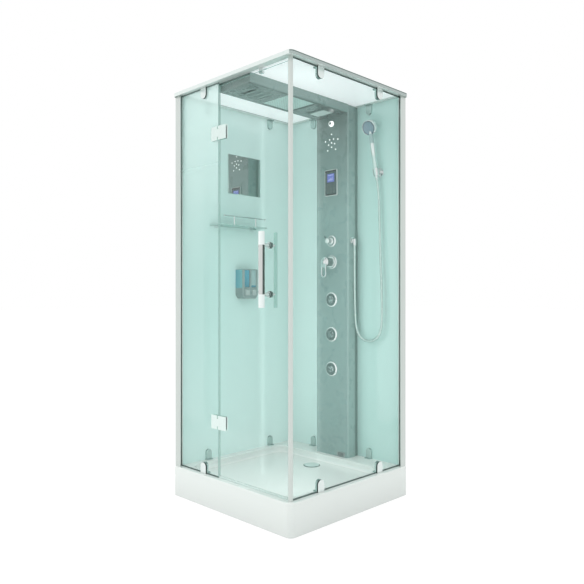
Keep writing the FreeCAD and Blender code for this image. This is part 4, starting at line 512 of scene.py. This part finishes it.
def display_glass():
    """Dark glass of the control panel, with a lit display in its upper half."""
    finish = Finish("Control panel glass", coat_weight=0.25, coat_roughness=0.05,
                    emission_strength=0.6)
    low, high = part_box("panel_glass")
    across, _, up = finish.axes()
    left, right = low.x + 0.016, high.x - 0.018
    bottom, top = high.z - 0.068, high.z - 0.020
    inside = ((across > left) * (across < right)) * ((up > bottom) * (up < top))
    bands = (up > high.z - 0.008).most(up < low.z + 0.008)
    line_pitch = 0.0021
    lines = step(((up - bottom) * (2 * math.pi / line_pitch)).sine(), -0.4, 0.6)
    lit = finish.mix(0.15 * lines, tuple(colours().display), rgb(140, 152, 220))
    plate = finish.mix(bands, rgb(60, 77, 76), rgb(18, 26, 27))
    finish.set(base_color=finish.mix(inside, plate, rgb(60, 70, 130)),
               emission_color=finish.mix(inside, (0, 0, 0), lit),
               roughness=0.1 + 0.06 * finish.noise(50.0))
    return finish.material


def handle_with_painted_reflection():
    """Door handle: white ends, a polished middle, and a dark strip of painted reflection along its
    side.
    """
    finish = Finish("Door handle", coat_weight=0.5, coat_roughness=0.05)
    half_grip = 0.1155
    ends = abs(finish.axes()[2] - level_of("outer_handle")) > half_grip
    normal = finish.faces()
    # Painted reflection: the dark strip stands in for dark surroundings mirrored in the polished
    # bar.
    strip = (normal[0] > 0.5) * (normal[1] > -0.42) * (1 - ends)
    polished = finish.mix(finish.noise(80.0, 3.0, (1, 1, 0.05)), rgb(196, 200, 198),
                          rgb(226, 228, 226))
    body = finish.mix(ends, polished, rgb(242, 248, 247))
    finish.set(base_color=finish.mix(strip, body, rgb(45, 66, 60)),
               metallic=0.7 * ((1 - ends) * (1 - strip)), roughness=0.14 + 0.3 * strip)
    return finish.material


def hand_shower_finish():
    """Pale grip, bright handle and head, and a grey neck between them."""
    finish = Finish("Hand shower", coat_weight=0.4, coat_roughness=0.04)
    grip_end, neck_foot, neck_head = 0.085, 0.160, 0.216
    axis = HAND @ Vector((0, 0, 1, 0))
    up = finish.along(axis.to_3d(), HAND.to_translation())
    neck = step(up, neck_foot, neck_foot + 0.004) * (1 - step(up, neck_head, neck_head + 0.002))
    grip = 1 - step(up, grip_end, grip_end + 0.015)
    bright = finish.mix(finish.noise(40.0),
                        finish.mix(grip, rgb(212, 225, 223), rgb(188, 216, 211)),
                        finish.mix(grip, rgb(240, 245, 244), rgb(214, 234, 230)))
    finish.set(base_color=finish.mix(neck, bright, rgb(150, 178, 177)),
               metallic=0.55 * (1 - neck), roughness=0.14 + 0.2 * neck)
    return finish.material


def lamp_cover():
    """Opal lamp cover in its grey frame."""
    finish = Finish("Lamp cover", coat_weight=0.2, emission_strength=0.12)
    lens = finish.axes()[2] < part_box("lamp_lens")[0].z + 0.0015
    finish.set(base_color=finish.mix(lens, rgb(122, 146, 142), rgb(186, 208, 203)),
               emission_color=finish.mix(lens, (0, 0, 0), rgb(220, 236, 232)),
               roughness=0.35 + 0.1 * finish.noise(20.0))
    return finish.material


def clip_plating():
    """Clips: bright outer caps with painted shade on their sides, and inside, paler upright legs
    and darker flat feet in painted light and shade.
    """
    finish = Finish("Clip plating", metallic=0.4, coat_weight=0.3)
    normal = finish.faces()
    x, y, _ = finish.axes()
    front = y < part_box("door_glass")[0].y
    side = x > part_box("side_pane")[1].x
    # Painted shade on the caps' sides, and painted light and shade on legs and feet by which way
    # they face.
    rim = (front * (abs(normal[1]) < 0.6)).most(side * (abs(normal[0]) < 0.6))
    cap = finish.mix(rim, rgb(230, 238, 236), rgb(52, 68, 65))
    leg = finish.mix(abs(normal[2]) > 0.6, rgb(176, 203, 198), rgb(112, 138, 134))
    finish.set(base_color=finish.mix(front.most(side), leg, cap),
               roughness=0.16 + 0.1 * finish.noise(60.0))
    return finish.material


def grooved_chrome(name, *grooves):
    """Turned chrome on the column's middle line, with painted shade in its grooves.

    A groove is the height of its middle, its inner radius and its outer radius.
    """
    finish = Finish(name)
    x, _, z = finish.axes()
    dark = None
    for level, inner, outer in grooves:
        off = x * x + (z - level) * (z - level)
        ring = (off > inner ** 2) * (off < outer ** 2)
        dark = ring if dark is None else dark.most(ring)
    marks = finish.noise(60.0, 3.0)
    bright = finish.mix(marks, rgb(228, 240, 237), rgb(248, 252, 251))
    finish.set(base_color=finish.mix(dark, bright, tuple(colours().dark)),
               metallic=0.55 - 0.3 * dark, roughness=0.08 + 0.3 * dark + 0.05 * marks)
    return finish.material


def jet_chrome():
    """Jet balls: plating broken up by the spray holes."""
    finish = Finish("Jet nozzles", metallic=0.35)
    specks = step(finish.noise(130.0, 3.0), 0.42, 0.62)
    finish.set(base_color=finish.mix(specks, rgb(82, 106, 104), rgb(176, 198, 195)),
               roughness=0.14 + 0.1 * specks)
    return finish.material


def standoff_metal():
    """Handle stand-offs: bright stems, with painted shade on one flank of each rosette at the
    glass.
    """
    finish = Finish("Stand-off", metallic=0.5)
    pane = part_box("door_glass")
    across = finish.axes()[1] - (pane[0].y + pane[1].y) / 2
    normal = finish.faces()
    # Painted shade on one flank of each rosette, next to the glass.
    dark = (abs(across) < 0.0105) * (normal[0] > 0.3)
    grain = finish.noise(60.0)
    bright = finish.mix(grain, rgb(176, 198, 194), rgb(224, 236, 233))
    finish.set(base_color=finish.mix(dark, bright, rgb(34, 52, 48)), roughness=0.16 + 0.1 * grain)
    return finish.material


def drain_plate():
    """Bright drain cover, with painted shade round its edge."""
    finish = Finish("Drain cover", metallic=0.25, coat_weight=0.4)
    low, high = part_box("drain_cover")
    middle, radius = (low + high) / 2, (high.x - low.x) / 2
    x, y, _ = finish.axes()
    off = (x - middle.x) * (x - middle.x) + (y - middle.y) * (y - middle.y)
    # Painted shade round the cover's edge.
    edge = off > (radius - 0.005) ** 2
    grain = finish.noise(40.0)
    bright = finish.mix(grain, rgb(204, 222, 218), rgb(226, 239, 236))
    finish.set(base_color=finish.mix(edge, bright, rgb(104, 128, 124)),
               roughness=0.2 + 0.1 * grain)
    return finish.material


def spindle_metal():
    """Mixer hub: a bright collar at the column, then a darker stem."""
    finish = Finish("Mixer hub", metallic=0.5)
    collar = finish.axes()[1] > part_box("column_housing")[0].y - 0.012
    grain = finish.noise(60.0)
    bright = finish.mix(grain, rgb(206, 226, 222), rgb(236, 246, 243))
    finish.set(base_color=finish.mix(collar, rgb(122, 148, 143), bright),
               roughness=0.14 + 0.1 * grain)
    return finish.material


def knob_chrome():
    """Diverter knob, with painted shade in two grooves round it behind its face."""
    finish = Finish("Diverter knob")
    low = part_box("diverter_knob")[0].y
    depth = finish.axes()[1] - low
    # Painted shade in two grooves round the knob.
    groove = ((depth > 0.008) * (depth < 0.013)).most((depth > 0.018) * (depth < 0.023))
    marks = finish.noise(60.0, 3.0)
    bright = finish.mix(marks, rgb(228, 240, 237), rgb(248, 252, 251))
    finish.set(base_color=finish.mix(groove, bright, tuple(colours().dark)),
               metallic=0.55 - 0.3 * groove, roughness=0.08 + 0.3 * groove + 0.05 * marks)
    return finish.material


def clear_vinyl():
    """Clear sealing strip, slightly cloudy."""
    finish = Finish("Clear vinyl", coat_weight=0.3)
    cloud = finish.noise(18.0)
    finish.set(base_color=finish.mix(cloud, rgb(206, 228, 223), rgb(232, 244, 241)),
               alpha=0.22 + 0.12 * cloud, roughness=0.2 + 0.1 * cloud)
    return finish.material


def stud_metal():
    """Bright heads of the speaker studs and of the nozzle above them, with a painted glow, and the
    nozzle's dark hole.
    """
    # Painted light: the emission makes the studs glow, though they are no lamp.
    finish = Finish("Bright stud", metallic=0.2, coat_weight=0.5, emission_strength=0.95)
    x, _, z = finish.axes()
    hole = x * x + (z - level_of("top_nozzle")) ** 2 < 0.0085 ** 2
    shine = finish.mix(finish.noise(120.0), rgb(240, 246, 245), rgb(252, 253, 253))
    finish.set(base_color=finish.mix(hole, shine, rgb(96, 116, 113)),
               emission_color=finish.mix(hole, shine, (0, 0, 0)), roughness=0.15 + 0.3 * hole)
    return finish.material


def spray_plate_finish():
    """Blue-grey spray face in its darker ring."""
    finish = Finish("Spray plate", coat_weight=0.3)
    across, up = [finish.along((FACE.to_3x3() @ Vector(axis)), FACE.to_translation())
                  for axis in ((1, 0, 0), (0, 1, 0))]
    ring = across * across + up * up > 0.0335 ** 2
    grain = finish.noise(160.0, 3.0)
    face = finish.mix(grain, rgb(102, 130, 144), rgb(138, 164, 176))
    finish.set(base_color=finish.mix(ring, face, rgb(66, 92, 102)),
               roughness=0.28 + 0.1 * grain)
    return finish.material


def brass():
    """Cast brass of the mixer valve."""
    finish = Finish("Valve brass", metallic=1.0)
    finish.shade(rgb(188, 160, 96), 0.2, 60.0)
    finish.set(roughness=0.35 + 0.2 * finish.noise(90.0))
    return finish.bump(finish.noise(300.0, 3.0), 0.0003, 0.4).material


def hose_metal():
    """Metal winding of the hose."""
    finish = Finish("Hose metal", metallic=0.75)
    finish.shade(rgb(202, 224, 219), 0.12, 90.0)
    finish.set(roughness=0.2 + 0.12 * finish.noise(160.0))
    return finish.material


def dress(material, *nodes):
    """Give CAD nodes a finish."""
    for name in nodes:
        mesh = NODES[name].data
        mesh.materials.clear()
        mesh.materials.append(material)


# ------------------------------------------------------------------ pieces

# How the hand shower leans in its cradle, where it stands, and the frame of its spray face.
LEAN = Matrix.Rotation(math.radians(-6.0), 4, "Y") @ Matrix.Rotation(math.radians(4.7), 4, "X")
HAND = Matrix.Translation((0.2812056, 0.3970807, 1.7870443)) @ LEAN
FACE = (HAND @ Matrix.Translation((0, 0.004, 0.256)) @ Matrix.Rotation(math.radians(110), 4, "X")
        @ Matrix.Translation((0, 0, 0.020)))

HOSE_RADIUS = 0.007
HOSE_ROUTE = (
    (0.1390, 0.3820, 1.3830), (0.1390, 0.3820, 1.2060), (0.1365, 0.3890, 1.0210),
    (0.1390, 0.3970, 0.8880), (0.1870, 0.4020, 0.8360), (0.2630, 0.4030, 0.8340),
    (0.3160, 0.4030, 0.8890), (0.3210, 0.4030, 1.0180), (0.3140, 0.4040, 1.1900),
    (0.3055, 0.4045, 1.3580), (0.3005, 0.4055, 1.5160), (0.29454, 0.40757, 1.66017),
    (0.28558, 0.40052, 1.74541), (0.28245, 0.39806, 1.77515),
)


def solid(name, mesh, material):
    """Turn a bmesh into an object with smooth faces."""
    bmesh.ops.recalc_face_normals(mesh, faces=mesh.faces)
    data = bpy.data.meshes.new(name)
    mesh.to_mesh(data)
    mesh.free()
    for face in data.polygons:
        face.use_smooth = True
    piece = bpy.data.objects.new(name, data)
    bpy.context.scene.collection.objects.link(piece)
    data.materials.append(material)
    return piece


def make(name, mesh, material, body):
    """Turn a bmesh into a piece that rides on a body and takes a finish."""
    piece = solid(name, mesh, material)
    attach(piece, body)


def circle(radius, count):
    """Even places on a circle, as x and y."""
    turns = [2 * math.pi * k / count for k in range(count)]
    return [(radius * math.cos(turn), radius * math.sin(turn)) for turn in turns]


def lathe(mesh, profile, frame, count=32):
    """Turn (radius, height) points about the Z axis of a frame; ends at radius 0 close."""
    rings = []
    for radius, height in profile:
        if radius < 1e-7:
            rings.append([mesh.verts.new(frame @ Vector((0, 0, height)))])
            continue
        rings.append([mesh.verts.new(frame @ Vector((*place, height)))
                      for place in circle(radius, count)])
    for low, high in zip(rings, rings[1:]):
        for k in range(count):
            after = (k + 1) % count
            unique = list(dict.fromkeys((low[k % len(low)], low[after % len(low)],
                                         high[after % len(high)], high[k % len(high)])))
            if len(unique) > 2:
                mesh.faces.new(unique)


def nub(mesh, frame, radius, height):
    """A soft nozzle: a small frustum with a rounded tip."""
    lathe(mesh, ((radius, 0), (radius * 0.8, height * 0.7), (radius * 0.5, height), (0, height)),
          frame, 10)


def bar(mesh, low, high):
    """A small box between two corners, its edges eased."""
    size = [b - a for a, b in zip(low, high)]
    middle = [(a + b) / 2 for a, b in zip(low, high)]
    place = Matrix.Translation(middle) @ Matrix.Diagonal((*size, 1))
    made = bmesh.ops.create_cube(mesh, size=1, matrix=place)
    edges = {edge for vert in made["verts"] for edge in vert.link_edges}
    bmesh.ops.bevel(mesh, geom=list(edges), offset=min(size) * 0.2, segments=2, affect="EDGES")


def spline_points(route):
    """Points along the smooth line that a route controls."""
    curve = bpy.data.curves.new("hose_line", "CURVE")
    curve.dimensions = "3D"
    curve.resolution_u = 40
    spline = curve.splines.new("NURBS")
    spline.points.add(len(route) - 1)
    for point, place in zip(spline.points, route):
        point.co = (*place, 1)
    spline.order_u = 3
    spline.use_endpoint_u = True
    line = bpy.data.objects.new("hose_line", curve)
    bpy.context.scene.collection.objects.link(line)
    bpy.context.view_layer.update()
    made = bpy.data.meshes.new_from_object(line)
    points = [vert.co.copy() for vert in made.vertices]
    bpy.data.objects.remove(line)
    bpy.data.meshes.remove(made)
    return points


def evenly(points, pitch):
    """Points at equal steps along a line."""
    total = sum((b - a).length for a, b in zip(points, points[1:]))
    count = max(2, round(total / pitch))
    gap, found, run, index = total / count, [points[0]], 0.0, 0
    for k in range(1, count):
        while run + (points[index + 1] - points[index]).length < gap * k:
            run += (points[index + 1] - points[index]).length
            index += 1
        part = (gap * k - run) / (points[index + 1] - points[index]).length
        found.append(points[index].lerp(points[index + 1], part))
    found.append(points[-1])
    return found


def ridged_tube(mesh, line, radius, groove, count=14):
    """A tube along a line that swells and narrows from one point to the next."""
    across = Vector((1, 0, 0))
    rings = []
    for index, here in enumerate(line):
        ahead = line[min(index + 1, len(line) - 1)] - line[max(index - 1, 0)]
        ahead.normalize()
        across = (across - ahead * across.dot(ahead)).normalized()
        beside = ahead.cross(across)
        width = radius - (groove if index % 2 else 0)
        rings.append([mesh.verts.new(here + across * x + beside * y)
                      for x, y in circle(width, count)])
    for low, high in zip(rings, rings[1:]):
        for k in range(count):
            after = (k + 1) % count
            mesh.faces.new((low[k], low[after], high[after], high[k]))
    mesh.faces.new(rings[0])
    mesh.faces.new(rings[-1])


class ShowerOperator:
    """What the operators share: they can be undone and report a failure by raising."""

    bl_options = {"REGISTER", "UNDO"}


class SHOWER_OT_stage(ShowerOperator, bpy.types.Operator):
    """Camera, lights, white surroundings and the floor"""

    bl_idname = "shower.stage"
    bl_label = "Stage"

    def execute(self, context):
        lens = bpy.data.cameras.new("camera")
        lens.lens, lens.sensor_width = 39.0, 36.0
        lens.shift_x, lens.shift_y = 0.0027, 0.0027
        lens.clip_start, lens.clip_end = 0.1, 100
        camera = bpy.data.objects.new("camera", lens)
        camera.location = (2.4536, -2.4547, 1.1049)
        camera.rotation_euler = (math.radians(90), 0, math.radians(45))
        context.scene.collection.objects.link(camera)
        context.scene.camera = camera
        context.scene.view_settings.view_transform = "Standard"
        self.surroundings(context)
        self.lamps(context)
        self.floor(context)
        return {"FINISHED"}

    def surroundings(self, context):
        """Dim light all round, with white where the camera looks past the cabin."""
        world = bpy.data.worlds.new("studio")
        context.scene.world = world
        world.use_nodes = True
        graph = Graph(world.node_tree)
        dim = graph.add("Background", color=(0.97, 1.0, 0.995), strength=0.9)
        white = graph.add("Background", color=(1, 1, 1), strength=1.0)
        sky = graph.add("MixShader", values=(graph.in_sight(), dim, white))
        plug(graph.tree, graph.tree.nodes["World Output"].inputs["Surface"], sky)

    def lamps(self, context):
        """Soft lamps, each with its place, its width in metres and its power in watts."""
        middle = Vector((0, 0, 1.1))
        for name, place, width, power in (
                ("key", (-1.6, -4.2, 3.0), 3.0, 34), ("fill", (4.4, -0.6, 2.2), 3.0, 8),
                ("top", (-0.4, -0.4, 4.6), 2.6, 25), ("inside", (0.33, -0.33, 1.1), 0.3, 3.0)):
            lamp = bpy.data.lights.new(name, "AREA")
            lamp.energy, lamp.size = power, width
            if name == "inside":
                lamp.shape, lamp.size_y = "RECTANGLE", 1.7
            holder = bpy.data.objects.new(name, lamp)
            holder.location = place
            holder.rotation_euler = (middle - Vector(place)).to_track_quat("-Z", "Y").to_euler()
            holder.visible_camera = holder.visible_glossy = False
            context.scene.collection.objects.link(holder)

    def floor(self, context):
        """Plain pale floor that glows white to the camera and keeps the cabin's shadow."""
        finish = Finish("Floor", base_color=(0.9, 0.9, 0.9), roughness=0.9)
        glow = finish.add("Emission", strength=1.07)
        mixed = finish.add("MixShader", values=(
            0.86 * finish.in_sight(), Wire(finish.tree, finish.shader.outputs[0]), glow))
        plug(finish.tree, finish.tree.nodes["Material Output"].inputs["Surface"], mixed)
        mesh = bmesh.new()
        bmesh.ops.create_grid(mesh, x_segments=1, y_segments=1, size=40)
        data = bpy.data.meshes.new("floor")
        mesh.to_mesh(data)
        mesh.free()
        data.materials.append(finish.material)
        floor = bpy.data.objects.new("floor", data)
        context.scene.collection.objects.link(floor)


class SHOWER_OT_hose(ShowerOperator, bpy.types.Operator):
    """Spiral metal hose from the elbow, round its loop and up into the hand shower"""

    bl_idname = "shower.hose"
    bl_label = "Hose"

    def execute(self, context):
        line = spline_points([Vector(point) for point in HOSE_ROUTE])
        rings = evenly(line, sizes().hose_pitch / 2)
        mesh = bmesh.new()
        ridged_tube(mesh, rings, HOSE_RADIUS, sizes().hose_groove)
        hose = solid("hose", mesh, hose_metal())
        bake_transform(hose)
        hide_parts("shower_hose")
        return {"FINISHED"}


class SHOWER_OT_glass(ShowerOperator, bpy.types.Operator):
    """Clear panes, door, shelf glass and the painted back walls"""

    bl_idname = "shower.glass"
    bl_label = "Glass"

    def execute(self, context):
        dress(clear_glass("Door glass", 1, sizes().haze), "door_glass")
        # The fixed pane's sheen and its near-white tint are a painted reflection towards its head.
        dress(clear_glass("Fixed pane", 1, sizes().haze, sizes().sheen, rgb(230, 252, 248)),
              "front_fixed_pane")
        dress(clear_glass("Side glass", 0, sizes().haze), "side_pane")
        dress(clear_glass("Shelf glass", 2, 0.6, tint=rgb(150, 204, 195)), "shelf_glass")
        # Painted light along each wall and towards its foot and head, set by these spans and
        # weights.
        dress(painted_glass("Left wall paint", 1, (-0.3, 0.4), 0.5, 0.6), "left_back_wall")
        dress(painted_glass("Right wall paint", 0, (0.1, -0.2), 0.75, 0.02), "right_back_wall")
        dress(mirror_silver(), "mirror")
        return {"FINISHED"}


class SHOWER_OT_shell(ShowerOperator, bpy.types.Operator):
    """Tray, roof, profiles, gaskets and what stands under the tray"""

    bl_idname = "shower.shell"
    bl_label = "Tray and frame"

    def execute(self, context):
        dress(acrylic(), "shower_tray")
        dress(aluminium(), "wall_profiles", "corner_post")
        dress(rim_aluminium(), "roof_frame")
        dress(roof_sheet(), "roof_panel")
        dress(rubber(), "pane_gaskets")
        dress(clear_vinyl(), "door_seals")
        dress(steel(), "tray_frame", "leveling_feet")
        dress(plastic("Drain plastic", rgb(224, 226, 224)), "drain_trap")
        return {"FINISHED"}


class SHOWER_OT_metalwork(ShowerOperator, bpy.types.Operator):
    """Hinges, clips, handles, shelf fittings and drain cover"""

    bl_idname = "shower.metalwork"
    bl_label = "Metalwork"

    def execute(self, context):
        dress(chrome(), "door_stop", "hinge_pins", "shelf_fittings", "hose_elbow",
              "handset_holder", "handset_cradle", "mixer_lever")
        dress(drain_plate(), "drain_cover")
        dress(clip_plating(), "glass_clips")
        dress(stud_metal(), "speaker_studs", "top_nozzle")
        dress(spindle_metal(), "mixer_spindle")
        dress(standoff_metal(), "handle_standoffs")
        dress(chrome("Hinge plating", 0.12, rgb(230, 245, 241)), "hinge_fixed_leaves",
              "hinge_door_leaves")
        dress(handle_with_painted_reflection(), "outer_handle")
        # Painted reflection: the inner bar's mint colour stands in for the green walls mirrored in
        # its metal.
        dress(plastic("Inner bar", rgb(158, 206, 196), 0.2, 0.5), "inner_handle")
        return {"FINISHED"}


class SHOWER_OT_column(ShowerOperator, bpy.types.Operator):
    """Column, console, control panel, jets and what is inside them"""

    bl_idname = "shower.column"
    bl_label = "Column and console"

    def execute(self, context):
        dress(lacquer(), "column_housing", "console_housing")
        dress(plastic("Chassis", rgb(112, 140, 134), 0.5), "column_back")
        dress(plastic("Outlet grey", rgb(140, 156, 154), 0.35, 0.2), "steam_outlet")
        dress(chrome("Boiler casing", 0.4, rgb(190, 194, 196)), "steam_generator")
        dress(brass(), "mixer_valve")
        dress(plastic("Pipe plastic", rgb(226, 228, 227)), "supply_pipes")
        dress(plastic("Speaker black", rgb(32, 33, 34), 0.6), "speaker")
        dress(plastic("Panel frame", rgb(186, 200, 197), 0.25, 0.4), "control_panel")
        dress(display_glass(), "panel_glass")
        jets = ("jet_nozzle_top", "jet_nozzle_middle", "jet_nozzle_bottom")
        mixer = level_of("mixer_spindle")
        # Rings and discs of painted shade: round and behind the mixer hub, round the diverter,
        # round each jet ball.
        dress(grooved_chrome("Rosettes", (mixer, 0.033, 0.036), (mixer, 0, 0.0245),
                             (DIVERTER_LEVEL, 0.021, 0.027),
                             *[(level_of(jet), 0.0, 0.0365) for jet in jets]),
              "column_rosettes")
        dress(jet_chrome(), *jets)
        dress(knob_chrome(), "diverter_knob")
        dress(chrome("Rain plate", 0.04, rgb(222, 232, 229)), "rain_shower_plate")
        dress(plastic("Grille plastic", rgb(126, 150, 146), 0.38, 0.2), "fan_grille")
        dress(lamp_cover(), "lamp_lens")
        dress(plastic("Fan black", rgb(30, 31, 33), 0.5), "fan_housing", "fan_rotor")
        self.rain_nubs()
        self.panel_keys()
        return {"FINISHED"}

    def rain_nubs(self):
        """Soft nozzles in rows under the rain plate."""
        low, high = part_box("rain_shower_plate")
        rows, mesh = sizes().rain_rows, bmesh.new()
        down = Matrix.Rotation(math.pi, 4, "X")
        for row in range(rows):
            for column in range(rows):
                x = low.x + (high.x - low.x) * (row + 1) / (rows + 1)
                y = low.y + (high.y - low.y) * (column + 1) / (rows + 1)
                nub(mesh, Matrix.Translation((x, y, low.z)) @ down, sizes().rain_nub, 0.0016)
        make("rain_nubs", mesh, plastic("Rain nub", rgb(150, 172, 168), 0.5), "cabin")

    def panel_keys(self):
        """Touch keys and a few bars of the display, slightly raised on the panel's glass."""
        low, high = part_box("panel_glass")
        forward = Matrix.Rotation(math.radians(90), 4, "X")
        mesh = bmesh.new()
        for row in range(3):
            for column in (-1, 0, 1):
                place = ((low.x + high.x) / 2 + column * 0.024, low.y, low.z + 0.020 + row * 0.019)
                lathe(mesh, ((0.0044, 0), (0.0050, 0.0003), (0.0062, 0.0003), (0.0066, 0)),
                      Matrix.Translation(place) @ forward, 24)
        make("panel_keys", mesh, plastic("Key print", rgb(100, 118, 116), 0.4), "cabin")
        mesh = bmesh.new()
        front, foot = low.y - 0.0003, high.z - 0.060
        for index, height in enumerate((0.006, 0.010, 0.015, 0.011, 0.018)):
            x = low.x + 0.024 + index * 0.007
            bar(mesh, (x, front, foot), (x + 0.004, low.y, foot + height))
        bar(mesh, (low.x + 0.022, front, high.z - 0.030), (high.x - 0.026, low.y, high.z - 0.027))
        make("display_bars", mesh, plastic("Display bars", rgb(196, 204, 240), 0.4), "cabin")


class SHOWER_OT_hand_shower(ShowerOperator, bpy.types.Operator):
    """Hand shower with its spray face and the nuts at both ends of the hose"""

    bl_idname = "shower.hand_shower"
    bl_label = "Hand shower"

    def execute(self, context):
        dress(hand_shower_finish(), "handset")
        mesh = bmesh.new()
        lathe(mesh, ((0, 0.0004), (0.0345, 0.0004), (0.0355, 0.0012), (0.0385, 0.0012),
                     (0.0395, 0.0)), FACE, 64)
        make("spray_plate", mesh, spray_plate_finish(), "hand_shower")
        mesh = bmesh.new()
        for radius, count in ((0.0, 1), (0.008, 6), (0.016, 12), (0.024, 18), (0.0305, 24)):
            for place in circle(radius, count):
                nub(mesh, FACE @ Matrix.Translation((*place, 0.0004)), sizes().nub, 0.0014)
        make("spray_nubs", mesh, plastic("Spray nub", rgb(92, 118, 126), 0.5), "hand_shower")
        bright = chrome("Hose nut")
        nut = ((0, 0.0), (0.0082, 0.0), (0.0088, 0.001), (0.0098, 0.016), (0.0100, 0.019),
               (0.0092, 0.0205), (0, 0.0205))
        mesh = bmesh.new()
        lathe(mesh, nut, HAND @ Matrix.Translation((0, 0, -0.0425)), 28)
        make("hand_nut", mesh, bright, "hand_shower")
        mesh = bmesh.new()
        lathe(mesh, tuple((radius, -height) for radius, height in nut),
              Matrix.Translation((0.139, 0.382, 1.4025)), 28)
        make("elbow_nut", mesh, bright, "cabin")
        return {"FINISHED"}


class SHOWER_OT_accessories(ShowerOperator, bpy.types.Operator):
    """Soap dispenser with its tanks and push levers"""

    bl_idname = "shower.accessories"
    bl_label = "Accessories"

    def execute(self, context):
        dress(dispenser_case(), "dispenser_housing")
        dress(plastic("Push lever", rgb(160, 180, 177), 0.26, 0.4), "dispenser_lever_left",
              "dispenser_lever_right")
        dress(soap_tank(), "dispenser_tanks")
        return {"FINISHED"}


class SHOWER_PT_looks(bpy.types.Panel):
    """Lists the steps that dress the cabin, with its colours and sizes"""

    bl_label = "Steam Shower Cabin"
    bl_space_type = "VIEW_3D"
    bl_region_type = "UI"
    bl_category = "Shower"

    def draw(self, context):
        for operator in OPERATORS:
            self.layout.operator(operator.bl_idname)
        for settings in (context.scene.shower_colours, context.scene.shower_sizes):
            box = self.layout.box()
            for name in settings.__annotations__:
                box.prop(settings, name)


OPERATORS = (SHOWER_OT_stage, SHOWER_OT_hose, SHOWER_OT_glass, SHOWER_OT_shell,
             SHOWER_OT_metalwork, SHOWER_OT_column, SHOWER_OT_hand_shower,
             SHOWER_OT_accessories)
CLASSES = (ShowerColours, ShowerSizes, *OPERATORS, SHOWER_PT_looks)


def register():
    """Make the settings, the operators and the panel known to Blender."""
    for item in CLASSES:
        bpy.utils.register_class(item)
    bpy.types.Scene.shower_colours = PointerProperty(type=ShowerColours)
    bpy.types.Scene.shower_sizes = PointerProperty(type=ShowerSizes)


def unregister():
    """Take them out again."""
    del bpy.types.Scene.shower_sizes
    del bpy.types.Scene.shower_colours
    for item in reversed(CLASSES):
        bpy.utils.unregister_class(item)


def main():
    """Run every step in its order."""
    register()
    for operator in OPERATORS:
        group, name = operator.bl_idname.split(".")
        getattr(getattr(bpy.ops, group), name)()


if __name__ == "__main__":
    main()
